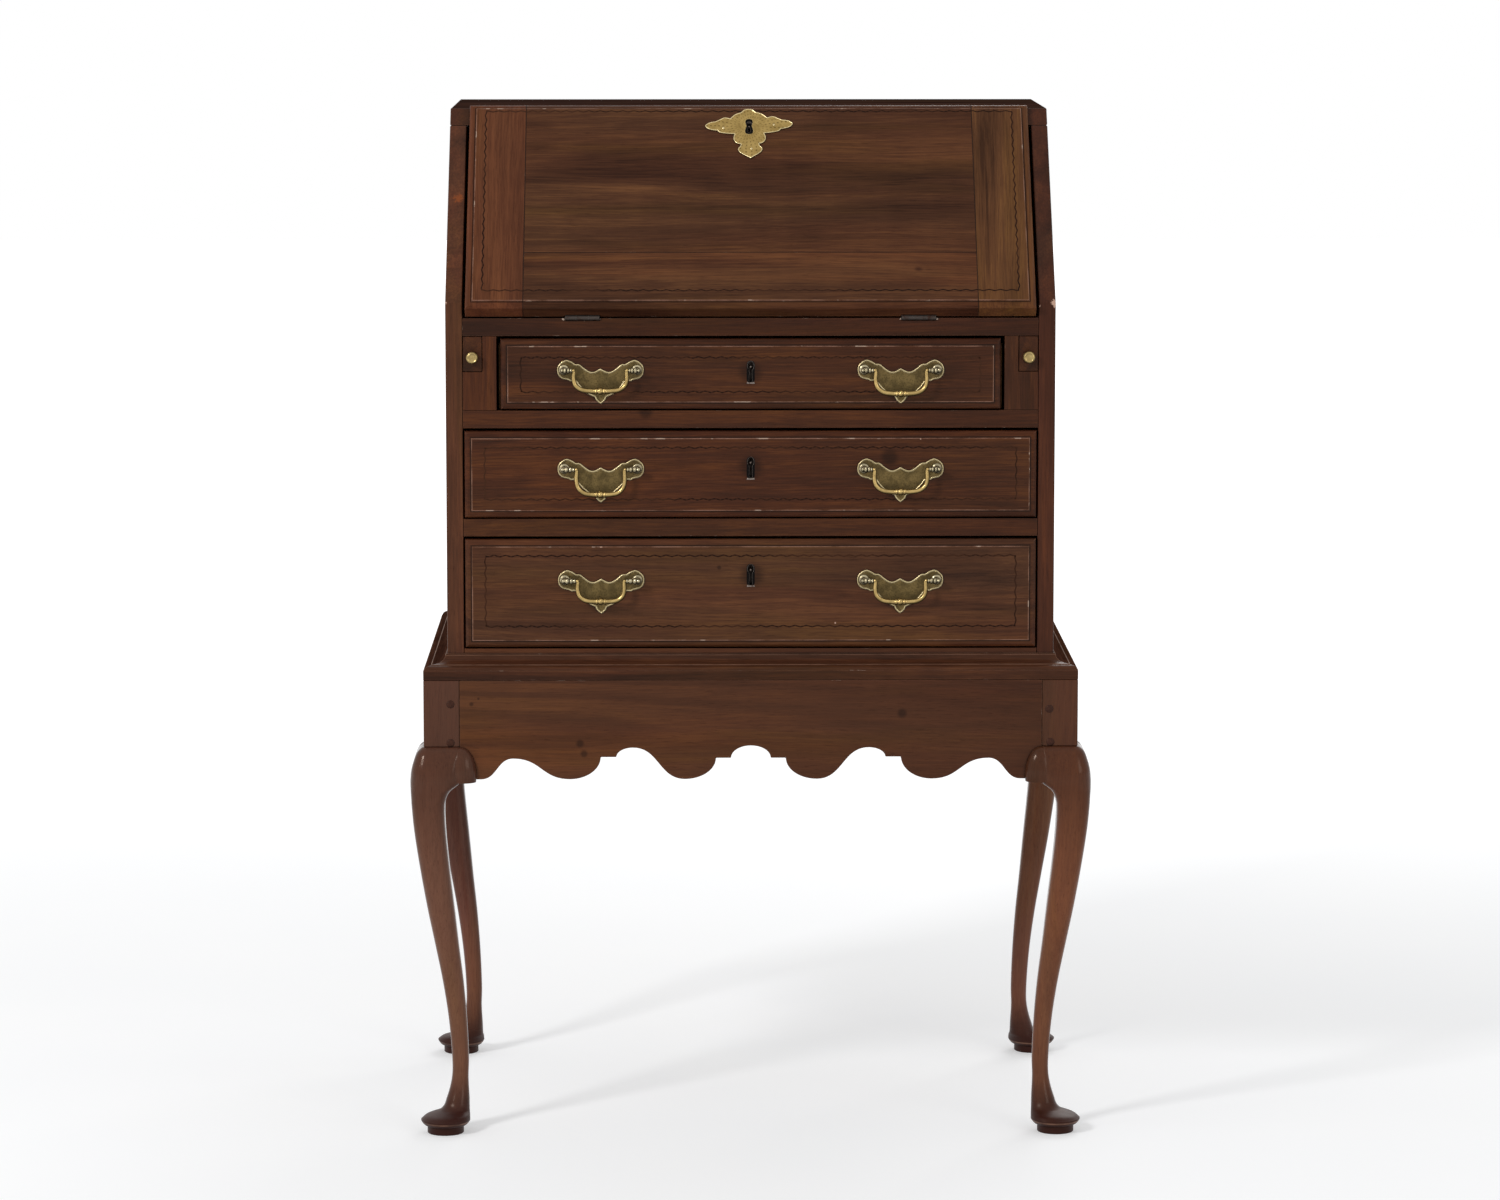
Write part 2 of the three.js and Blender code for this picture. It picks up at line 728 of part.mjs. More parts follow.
function makeFall(group) {
  const whole = mouldedBoard(2 * fallHalf, fallLength, fallThick).translate(0, fallStart, pinLift);
  const rebate = box(
    [-fallHalf - overrun, rebateRise - turnGap, pinLift - overrun],
    [fallHalf + overrun, fallStart + fallLength + overrun, sideSlant + turnGap],
  );
  const board = solid(whole).subtract(solid(rebate));
  const cut = (from, to) => {
    const keep = box([from, -overrun, -overrun], [to, fallLength + 2 * overrun, fallFace + overrun]);
    return board.intersect(solid(keep));
  };
  addPair(group, "fall_cleat", surface(cut(fallSeam + glueGap, fallHalf + overrun)), walnut);
  let panel = cut(-fallSeam, fallSeam);
  const room = hingeRoom();
  for (const sign of [-1, 1]) panel = panel.subtract(room.translate([sign * hingeMiddle, 0, 0]));
  const hole = keyhole(fallKeyholeWidth, fallKeyholeHeight);
  const keyCut = (from, to) => extrude(hole, to - from).translate(0, fallKeyholeRise, from);
  const lockHigh = [lockWidth / 2, fallLockTop, pinLift + lockThick];
  const lockLow = [-lockWidth / 2, fallLockTop - fallLockHeight, pinLift];
  const pocket = box(
    [lockLow[0] - turnGap, lockLow[1] - turnGap, lockLow[2] - overrun],
    [lockHigh[0] + turnGap, lockHigh[1] + overrun, lockHigh[2] + turnGap],
  );
  panel = panel.subtract(solid(pocket)).subtract(solid(keyCut(0, fallFace + overrun)));
  add(group, "fall_panel", surface(panel), walnut);
  const lock = solid(box(lockLow, lockHigh)).subtract(solid(keyCut(lockHigh[2] - keyholeDepth, fallFace)));
  add(group, "fall_lock", surface(lock), iron);
  const outline = mirroredRuns(escutcheonShares, escutcheonWidth, escutcheonHeight);
  const top = fallKeyholeRise + escutcheonKeyholeDrop;
  const plate = extrude(outline, escutcheonThick).translate(0, top, fallFace + glueGap);
  const escutcheon = solid(plate).subtract(solid(keyCut(fallFace - overrun, fallFace + overrun)));
  add(group, "fall_escutcheon", surface(escutcheon), brass);
}

// Hinges, with the pin along X at the origin
function hingePlate() {
  const half = hingeWidth / 2;
  return solid(box([-half, 0, pinLift], [half, hingeReach, pinLift + leafThick]));
}

function makeFallLeaves(group) {
  const half = hingeWidth / 2;
  const middle = hingeMiddleWidth / 2;
  const clear = solid(rodX(knuckleRadius + turnGap, -middle - turnGap, middle + turnGap, roundSides));
  let leaf = hingePlate().subtract(clear);
  leaf = leaf.add(solid(rodX(knuckleRadius, middle + turnGap, half, roundSides)));
  leaf = leaf.add(solid(rodX(knuckleRadius, -half, -middle - turnGap, roundSides)));
  leaf = leaf.subtract(solid(rodX(boreRadius, -half - overrun, half + overrun, pinSides)));
  addPair(group, "fall_hinge_leaf", surface(leaf), iron, [hingeMiddle, 0, 0]);
}

function makeBedLeaves(group) {
  const half = hingeWidth / 2;
  const middle = hingeMiddleWidth / 2;
  let leaf = hingePlate().mirror([0, 0, 1]);
  for (const sign of [-1, 1]) {
    const ends = [sign * middle, sign * (half + overrun)].sort((a, b) => a - b);
    leaf = leaf.subtract(solid(rodX(knuckleRadius + turnGap, ...ends, roundSides)));
  }
  leaf = leaf.add(solid(rodX(knuckleRadius, -middle, middle, roundSides)));
  leaf = leaf.add(solid(rodX(pinRadius, -half, half, pinSides)));
  addPair(group, "bed_hinge_leaf", surface(leaf), iron, [hingeMiddle, pinY, pinZ]);
}

// Long drawers
function makeDrawer(group, name, bottom, opening, half, sideGap, keyholeDrop, handleRise) {
  const low = bottom + drawerGapBelow;
  const high = bottom + opening - drawerGapAbove;
  const height = high - low;
  const width = 2 * (half - sideGap);
  const back = drawerFrontThick - drawerProud;
  const hole = keyhole(keyholeWidth, keyholeHeight);
  const keyCut = (from, to) => solid(extrudeXZ(hole, from, to).translate(0, 0, height - keyholeDrop));
  const lockLow = [-lockWidth / 2, back - lockThick, height - drawerLockHeight - turnGap];
  const lockHigh = [lockWidth / 2, back, height - turnGap];
  const pocket = box(
    [lockLow[0] - turnGap, lockLow[1] - turnGap, lockLow[2] - turnGap],
    [lockHigh[0] + turnGap, lockHigh[1] + overrun, lockHigh[2] + overrun],
  );
  const board = mouldedBoard(width, height, drawerFrontThick).rotateX(Math.PI / 2).translate(0, back, 0);
  const front = solid(board).subtract(solid(pocket)).subtract(keyCut(-overrun - drawerProud, back));
  add(group, `${name}_front`, surface(front), walnut, [0, caseFront, low]);
  const lock = solid(box(lockLow, lockHigh)).subtract(keyCut(-overrun, lockLow[1] + keyholeDepth));
  add(group, `${name}_lock`, surface(lock), iron, [0, caseFront, low]);

  const boxHalf = half - drawerSideGap;
  const rear = innerBack - caseFront - drawerBackGap;
  const floor = slideGap - drawerGapBelow;
  const outer = box([-boxHalf, back + glueGap, floor], [boxHalf, rear, height - drawerBoxDrop]);
  const inner = box(
    [drawerWall - boxHalf, back - overrun, floor + drawerFloor],
    [boxHalf - drawerWall, rear - drawerWall, height + overrun],
  );
  add(group, `${name}_box`, surface(solid(outer).subtract(solid(inner))), drawerWood, [0, caseFront, low]);

  const face = caseFront - drawerProud - glueGap;
  const size = name.replace("drawer_", "");
  for (const [side, sign] of [["left", -1], ["right", 1]]) {
    const place = [sign * handleMiddle, face, low + handleRise];
    add(group, `plate_${size}_${side}`, plateGeometry, brass, place);
    add(group, `bail_${size}_${side}`, bailGeometry, brightBrass, place);
  }
}

// Handles, with the back of the plate at y = 0 and the posts at z = 0
const plateShares = [
  [[0, 0.045], [0.05, 0.016], [0.109, -0.027], [0.166, 0.011], [0.212, 0.101], [0.258, 0.146], [0.297, 0.13]],
  [[0.297, 0.13], [0.333, 0.202], [0.391, 0.236], [0.465, 0.164], [0.5, 0.022], [0.478, -0.108],
    [0.425, -0.18], [0.362, -0.225]],
  [[0.362, -0.225], [0.31, -0.292], [0.264, -0.416], [0.195, -0.506], [0.103, -0.551], [0.074, -0.584]],
  [[0.074, -0.584], [0.052, -0.663], [0, -0.764]],
];
const headShares = [
  [0, 0],
  [0.8, 0],
  [1, 0.15],
  [1, 0.55],
  [0.66, 0.7],
  [0.6, 0.86],
  [0, 1],
];
// The bail's centre line, from a pivot inwards, as shares of its half width and its drop
const bailShares = [
  [1.08, 0],
  [1.01, -0.05],
  [1, -0.16],
  [1, -0.4],
  [0.9, -0.7],
  [0.64, -0.93],
  [0.3, -1],
  [0, -1],
];
const knopShares = [
  [0, -0.5],
  [0.65, -0.5],
  [0.9, -0.38],
  [0.6, -0.2],
  [1, -0.06],
  [1, 0.06],
  [0.6, 0.2],
  [0.9, 0.38],
  [0.65, 0.5],
  [0, 0.5],
];

function makePlate() {
  const outline = mirroredRuns(plateShares, plateWidth, plateHeight);
  let plate = solid(extrudeXZ(outline, -plateThick, 0));
  const stem = [
    [0, 0],
    [postRadius, 0],
    [postRadius, postReach],
    [0, postReach],
  ];
  const profile = headShares.map(([radius, along]) => [radius * postHeadRadius, along * postHeadLength]);
  for (const sign of [-1, 1]) {
    const middle = (sign * postSpacing) / 2;
    const inner = middle - (sign * postHeadLength) / 2;
    const post = turned(stem, pinSides).rotateX(Math.PI).translate(middle, 0, 0);
    const head = turned(profile, pinSides).rotateZ((-sign * Math.PI) / 2).translate(inner, -postReach, 0);
    const bore = [inner - sign * overrun, inner + sign * (pivotDepth + turnGap)].sort((a, b) => a - b);
    const hole = rodX(pivotBore, ...bore, pinSides).translate(0, -postReach, 0);
    plate = plate.add(solid(post)).add(solid(head)).subtract(solid(hole));
  }
  return surface(plate);
}

function makeBail() {
  const half = bailWidth / 2;
  const right = bailShares.map(([x, z]) => new THREE.Vector3(x * half, -postReach, z * bailDrop));
  const left = right.slice(0, -1).map((p) => new THREE.Vector3(-p.x, p.y, p.z));
  const line = new THREE.CatmullRomCurve3([...right, ...left.reverse()]);
  const section = new THREE.Shape().absarc(0, 0, bailRadius, 0, 2 * Math.PI);
  const bow = new THREE.ExtrudeGeometry(section, {
    extrudePath: line,
    steps: bailSteps,
    curveSegments: tubeSides / 2,
  });
  const pivotEnd = postSpacing / 2 - postHeadLength / 2 + pivotDepth;
  const rod = (from, to) => rodX(pivotRadius, from, to, tubeSides).translate(0, -postReach, 0);
  const knop = turned(
    knopShares.map(([radius, along]) => [radius * bailKnopRadius, along * bailKnopLength]),
    tubeSides,
  );
  return surface(
    solid(bow)
      .add(solid(rod(half - bailRadius, pivotEnd)))
      .add(solid(rod(-pivotEnd, bailRadius - half)))
      .add(solid(knop.rotateZ(-Math.PI / 2).translate(0, -postReach, -bailDrop))),
  );
}

const plateGeometry = makePlate();
const bailGeometry = makeBail();

// Writing compartment
function makeGallery(group) {
  const half = innerHalf - glueGap;
  const front = galleryFront;
  const back = innerBack - glueGap;
  let gallery = solid(box([-half, front, shelfBottom], [half, back, shelfBottom + galleryShelf]));
  const wall = (count, thick, low, high) => {
    const pitch = (2 * innerHalf + thick) / count;
    for (let i = 1; i < count; i += 1) {
      const x = -innerHalf + i * pitch - thick;
      gallery = gallery.add(solid(box([x, front, low], [x + thick, back, high])));
    }
  };
  wall(smallDrawers, galleryShelf, bedTop + glueGap, shelfBottom + glueGap);
  wall(galleryHoles, galleryDivider, shelfBottom + galleryShelf - glueGap, topUnderside - glueGap);
  add(group, "pigeonhole_gallery", surface(gallery), walnut);
}

function makeSmallDrawers(group) {
  const pitch = (2 * innerHalf + galleryShelf) / smallDrawers;
  const width = pitch - galleryShelf - 2 * slideGap;
  const height = smallDrawerHeight - 2 * slideGap;
  const half = width / 2;
  const outer = solid(box([-half, 0, 0], [half, smallDrawerLength, height]));
  const inner = solid(
    box(
      [smallWall - half, smallFrontThick, smallFloor],
      [half - smallWall, smallDrawerLength - smallWall, height + overrun],
    ),
  );
  const pull = solid(knob(smallKnobDiameter, smallKnobReach).translate(0, glueGap, height / 2));
  const geometry = surface(outer.subtract(inner).add(pull));
  for (let i = 0; i < smallDrawers; i += 1) {
    const x = -innerHalf + i * pitch + (pitch - galleryShelf) / 2;
    const place = [x, galleryFront, bedTop + slideGap];
    add(group, `small_drawer_${i + 1}`, geometry, walnut, place);
  }
}

// The whole desk
const desk = new THREE.Group();
desk.name = "desk_on_frame";
makeLegs(desk);
makeRails(desk);
makeMouldings(desk);
makeCase(desk);
makeBed(desk);
makeHousings(desk);
makeLopers(desk);
makeGallery(desk);
makeSmallDrawers(desk);
makeBedLeaves(desk);
makeDrawer(
  desk, "drawer_top", openingTop, openingTopHeight, topDrawerHalf, topDrawerSideGap,
  keyholeDropTop, handleRiseTop,
);
makeDrawer(
  desk, "drawer_middle", openingMiddle, openingMiddleHeight, innerHalf, drawerSideGap,
  keyholeDropMiddle, handleRiseMiddle,
);
makeDrawer(
  desk, "drawer_bottom", openingBottom, openingBottomHeight, innerHalf, drawerSideGap,
  keyholeDropBottom, handleRiseBottom,
);

const fall = new THREE.Group();
fall.position.set(0, pinY, pinZ);
fall.rotation.x = slantAngle;
makeFall(fall);
makeFallLeaves(fall);
desk.add(fall);

export default desk;
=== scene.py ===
import json
import math
import random

import bmesh
import bpy
from mathutils import Matrix, Vector


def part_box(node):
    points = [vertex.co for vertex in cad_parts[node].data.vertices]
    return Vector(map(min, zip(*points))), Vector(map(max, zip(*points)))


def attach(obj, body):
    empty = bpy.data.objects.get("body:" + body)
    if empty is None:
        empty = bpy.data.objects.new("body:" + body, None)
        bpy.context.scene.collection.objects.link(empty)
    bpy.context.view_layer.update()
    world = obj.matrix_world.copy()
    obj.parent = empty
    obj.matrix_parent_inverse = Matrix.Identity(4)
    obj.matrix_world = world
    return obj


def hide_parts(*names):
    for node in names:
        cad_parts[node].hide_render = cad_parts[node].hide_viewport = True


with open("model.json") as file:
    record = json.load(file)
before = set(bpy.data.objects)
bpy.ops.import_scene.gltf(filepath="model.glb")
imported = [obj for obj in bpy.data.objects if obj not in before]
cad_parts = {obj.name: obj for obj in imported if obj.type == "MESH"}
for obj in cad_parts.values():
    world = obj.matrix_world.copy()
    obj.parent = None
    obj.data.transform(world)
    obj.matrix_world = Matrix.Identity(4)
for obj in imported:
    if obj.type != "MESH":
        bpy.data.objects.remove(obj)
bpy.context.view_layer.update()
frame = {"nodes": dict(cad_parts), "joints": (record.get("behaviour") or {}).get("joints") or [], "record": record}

NODES = frame["nodes"]
BODY_OF = {node: body for body, nodes in frame["record"]["behaviour"]["bodies"].items() for node in nodes}
PIVOT = {joint["child"]: Vector(joint["pos_m"]) for joint in frame["joints"] if "pos_m" in joint}

# Sizes in metres, the same as the solids have
SLANT = math.radians(49.25)
CASE_FRONT = -0.18925
FRAME_HALF = 0.3285
FRAME_FRONT = -0.21275
FRAME_TOP = 0.4665
KNEE = 0.399
BLOCK = 0.036
APRON = 0.1005
FALL_TO_DESK = Matrix.Translation(PIVOT["fall"]) @ Matrix.Rotation(SLANT, 4, "X")
FALL_FACE = 0.018
FALL_LENGTH_TO_PLATE = 0.227
DRAWER_FACE = CASE_FRONT - 0.006
MOULDED = 0.007
CLEAT_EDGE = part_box("fall_cleat_right")[0].x

QUARTER = math.pi / 2
SIDES = ("left", "right")


# Places and directions
def at(x, y, z, turn=0.0, axis="X"):
    """Moves to a place and turns there."""
    return Matrix.Translation((x, y, z)) @ Matrix.Rotation(turn, 4, axis)


def upright(across, out, origin):
    """From an outline, whose second number goes up, to the desk."""
    matrix = Matrix.Identity(4)
    for column, direction in enumerate((across, (0, 0, 1), out, origin)):
        for row in range(3):
            matrix[row][column] = direction[row]
    return matrix


def spots(y, *marks):
    """Marks on a face that looks forwards, from x, height, size and perhaps a colour."""
    return [(x, y, *rest) for x, *rest in marks]


# Meshes
def painted(obj, material):
    obj.data.materials.clear()
    obj.data.materials.append(material)
    return obj


def new_object(name, bm, material=None, flat=False, sharp=None):
    """A mesh as an object, with edges that turn more than sharp degrees kept crisp."""
    bmesh.ops.recalc_face_normals(bm, faces=bm.faces)
    mesh = bpy.data.meshes.new(name)
    bm.to_mesh(mesh)
    bm.free()
    for polygon in mesh.polygons:
        polygon.use_smooth = not flat
    if sharp:
        mesh.set_sharp_from_angle(angle=math.radians(sharp))
    obj = bpy.data.objects.new(name, mesh)
    bpy.context.scene.collection.objects.link(obj)
    return painted(obj, material) if material else obj


def even_normals(obj):
    """Large flat faces keep flat shading beside their rounded edges."""
    modifier = obj.modifiers.new("normals", "WEIGHTED_NORMAL")
    modifier.keep_sharp = True
    modifier.weight = 80
    return obj


def place(obj, body, slot, material, *nodes):
    """Gives a piece its material, its body and the nodes that it stands for; the slot is not used."""
    if material is not None:
        painted(obj, material)
    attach(obj, body)
    if nodes:
        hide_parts(*nodes)


def skin(bm, rings, closed=True, caps=True):
    """Quads between rings of points, with the first and last ring filled."""
    rows = [[bm.verts.new(point) for point in ring] for ring in rings]
    for low, high in zip(rows, rows[1:]):
        count = len(low)
        for i in range(count if closed else count - 1):
            j = (i + 1) % count
            bm.faces.new((low[i], low[j], high[j], high[i]))
    if caps:
        bm.faces.new(rows[0][::-1])
        bm.faces.new(rows[-1])


def soften(bm, width, segments=2, limit=0.45):
    """Rounds every edge that turns more than the limit."""
    bm.normal_update()
    edges = [e for e in bm.edges if len(e.link_faces) == 2 and e.calc_face_angle(0) > limit]
    round_edges(bm, edges, width, segments)


def round_edges(bm, edges, width, segments):
    bmesh.ops.bevel(
        bm, geom=edges, offset=width, segments=segments, profile=0.5, affect="EDGES", clamp_overlap=True,
    )


def box_mesh(low, high, bm=None):
    bm = bm or bmesh.new()
    size = Vector(high) - Vector(low)
    middle = (Vector(high) + Vector(low)) / 2
    bmesh.ops.create_cube(bm, size=1, matrix=Matrix.Translation(middle) @ Matrix.Diagonal((*size, 1)))
    return bm


def node_mesh(node):
    """A node's own shape with its flat faces joined."""
    bm = bmesh.new()
    bm.from_mesh(NODES[node].data)
    bmesh.ops.remove_doubles(bm, verts=bm.verts, dist=1e-5)
    bmesh.ops.dissolve_limit(bm, angle_limit=0.01, verts=bm.verts, edges=bm.edges)
    return bm


def fine(node, material, width=0.0006, slot="walnut"):
    """A node's own shape with its edges rounded."""
    bm = node_mesh(node)
    soften(bm, width)
    obj = even_normals(new_object(node + "_fine", bm))
    place(obj, BODY_OF[node], slot, material, node)
    return obj


def slice_off(bm, point, normal):
    """Cuts a mesh at a plane, drops what is beyond it and fills the opening."""
    geometry = bm.verts[:] + bm.edges[:] + bm.faces[:]
    result = bmesh.ops.bisect_plane(bm, geom=geometry, plane_co=point, plane_no=normal, clear_outer=True)
    rim = [e for e in result["geom_cut"] if isinstance(e, bmesh.types.BMEdge)]
    bmesh.ops.edgenet_fill(bm, edges=rim)


def circle(steps):
    return [(math.cos(2 * math.pi * k / steps), math.sin(2 * math.pi * k / steps)) for k in range(steps)]


def shape(name, rings, material=None, sharp=None, soft=None, merge=0.0, caps=True):
    """An object from rings of points, perhaps with rounded edges and with its doubles merged."""
    bm = bmesh.new()
    skin(bm, rings, caps=caps)
    if soft:
        soften(bm, *soft)
    if merge:
        bmesh.ops.remove_doubles(bm, verts=bm.verts, dist=merge)
    return new_object(name, bm, material, sharp=sharp)


def lathe(name, profile, matrix, segments, material, sharp=None):
    """A turned shape from radius and place along Z, moved by a matrix."""
    rings = []
    for radius, along in profile:
        radius = max(radius, 1e-6)
        rings.append([matrix @ Vector((radius * c, radius * s, along)) for c, s in circle(segments)])
    return shape(name, rings, material, sharp, merge=4e-6)


def raised(outline, depth, to_desk):
    """An outline across a and b, at a depth along the third direction."""
    return [to_desk @ Vector((a, b, depth)) for a, b in outline]


def slab(outline, near, far, to_desk):
    return [raised(outline, depth, to_desk) for depth in (near, far)]


def joined(name, objects):
    """Several loose meshes as one object, each with its own material kept."""
    mesh = bpy.data.meshes.new(name)
    bm = bmesh.new()
    materials = []
    for obj in objects:
        start = len(bm.faces)
        bm.from_mesh(obj.data)
        bm.faces.ensure_lookup_table()
        for face in bm.faces[start:]:
            material = obj.data.materials[face.material_index]
            if material not in materials:
                materials.append(material)
            face.material_index = materials.index(material)
    bm.to_mesh(mesh)
    bm.free()
    for material in materials:
        mesh.materials.append(material)
    for obj in objects:
        bpy.data.objects.remove(obj)
    whole = bpy.data.objects.new(name, mesh)
    bpy.context.scene.collection.objects.link(whole)
    return whole


def assemble(name, objects, body, slot, *nodes):
    place(joined(name, objects), body, slot, None, *nodes)


def cut(obj, cutter):
    """Takes the cutter's shape out of a mesh for good."""
    modifier = obj.modifiers.new("cut", "BOOLEAN")
    modifier.operation = "DIFFERENCE"
    modifier.solver = "EXACT"
    modifier.object = cutter
    bpy.context.view_layer.update()
    graph = bpy.context.evaluated_depsgraph_get()
    mesh = bpy.data.meshes.new_from_object(obj.evaluated_get(graph))
    obj.modifiers.clear()
    obj.data = mesh
    bpy.data.objects.remove(cutter)
    return obj


# Curves through points
def spline(points, steps):
    """Smooth points through the given ones, which it keeps."""
    result = []
    last = len(points) - 1
    for i in range(last):
        near = (points[max(i - 1, 0)], points[i], points[i + 1], points[min(i + 2, last)])
        for k in range(steps):
            t = k / steps
            result.append(tuple(
                b + 0.5 * ((c - a) * t + (2 * a - 5 * b + 4 * c - d) * t * t + (3 * b - a - 3 * c + d) * t**3)
                for a, b, c, d in zip(*near)
            ))
    result.append(tuple(points[-1]))
    return result


def mirrored_runs(runs, width, height):
    """A closed outline from smooth runs, each of which goes on from the last, and their mirror image."""
    right = []
    for run in runs:
        right[-1:] = spline(right[-1:] + [(x * width, z * height) for x, z in run], 6)
    return right + [(-x, z) for x, z in reversed(right[1:-1])]


# Materials
def linear(red, green, blue):
    """A colour given as the screen shows it, from 0 to 255."""
    values = []
    for value in (red, green, blue):
        share = value / 255
        values.append(share / 12.92 if share <= 0.04045 else ((share + 0.055) / 1.055) ** 2.4)
    return (*values, 1)


TURNS = {
    "X": (0.0, 0.0, 0.0),
    "Y": (0.0, 0.0, -QUARTER),
    "Z": (0.0, QUARTER, 0.0),
    "slope_X": (-SLANT, 0.0, 0.0),
    "slope_Y": (-SLANT, 0.0, -QUARTER),
}


class Value:
    """A number, vector or colour that nodes work out, with arithmetic that adds more nodes."""

    def __init__(self, look, socket):
        self.look = look
        self.socket = socket

    def do(self, operation, *others):
        if self.socket.type == "VALUE":
            return self.look.node("Math", 0, enumerate((self, *others)), operation=operation)
        others = [(v, v, v) if isinstance(v, float) else v for v in others]
        output = "Value" if operation in ("LENGTH", "DOT_PRODUCT") else "Vector"
        return self.look.node("VectorMath", output, enumerate((self, *others)), operation=operation)

    def __add__(self, other):
        return self.do("ADD", other)

    def __sub__(self, other):
        return self.do("SUBTRACT", other)

    def __mul__(self, other):
        return self.do("MULTIPLY", other)

    def __abs__(self):
        return self.do("ABSOLUTE")

    def inverse(self):
        return self.look.node("Math", 0, {0: 1.0, 1: self}, operation="SUBTRACT")

    def span(self, low, high, to_low=0.0, to_high=1.0, kind="SMOOTHSTEP"):
        values = {"Value": self, "From Min": low, "From Max": high, "To Min": to_low, "To Max": to_high}
        return self.look.node("MapRange", "Result", values, interpolation_type=kind)

    def noise(self, scale, detail=2.0, rough=0.5, output="Fac"):
        """Noise whose scale may differ along each direction."""
        place = self
        if isinstance(scale, tuple):
            place = self * scale
            scale = 1.0
        values = {"Vector": place, "Scale": scale, "Detail": detail, "Roughness": rough}
        return self.look.node("TexNoise", output, values)

    def beside(self, output):
        """Another output of the same node."""
        return Value(self.look, self.socket.node.outputs[output])

    def part(self, axis):
        return self.look.node("SeparateXYZ", axis, {0: self})

    def turned(self, along):
        return self.look.node("Mapping", 0, {"Vector": self, "Rotation": TURNS[along]})


class Look:
    """The nodes of a material or of the world, and the colour that they have come to."""

    def __init__(self, owner):
        self.owner = owner
        owner.use_nodes = True
        self.tree = owner.node_tree
        self.tree.nodes.clear()

    def node(self, kind, output, values=(), **settings):
        """Adds a node and gives one of its outputs."""
        node = self.tree.nodes.new("ShaderNode" + kind)
        for key, value in settings.items():
            setattr(node, key, value)
        for key, value in dict(values).items():
            if isinstance(value, Value):
                self.tree.links.new(value.socket, node.inputs[key])
            else:
                node.inputs[key].default_value = value
        if output is not None:
            return Value(self, node.outputs[output])

    def mix(self, share, a, b, blend="MIX"):
        settings = {"data_type": "RGBA", "blend_type": blend, "clamp_factor": True}
        return self.node("Mix", 2, {0: share, 6: a, 7: b}, **settings)

    def cover(self, share, colour):
        """Lays a colour over what is there."""
        self.colour = self.mix(share, self.colour, linear(*colour))

    def tint(self, share, factors):
        """Multiplies what is there."""
        self.colour = self.mix(share, self.colour, (*factors, 1), "MULTIPLY")

    def place(self):
        return self.node("TexCoord", "Object")

    def normal(self):
        return self.node("NewGeometry", "Normal")

    def edges(self, radius):
        """1 on edges and corners, 0 on flat places."""
        bevel = self.node("Bevel", 0, {"Radius": radius}, samples=4)
        return bevel.do("DOT_PRODUCT", self.normal()).inverse().span(0.01, 0.16)

    def corners(self, distance):
        """1 in open places, towards 0 in corners and crevices."""
        return self.node("AmbientOcclusion", "AO", {"Distance": distance}, samples=4)

    def finish(self, roughness, height, bump, deep, **constants):
        normal = self.node("Bump", 0, {"Strength": bump, "Distance": deep, "Height": height})
        values = {"Base Color": self.colour, "Roughness": roughness, "Normal": normal}
        for key, value in constants.items():
            values[key.replace("_", " ")] = value
        self.node("OutputMaterial", None, {"Surface": self.node("BsdfPrincipled", 0, values)})
        return self.owner


LIP_HEIGHT = 0.0117


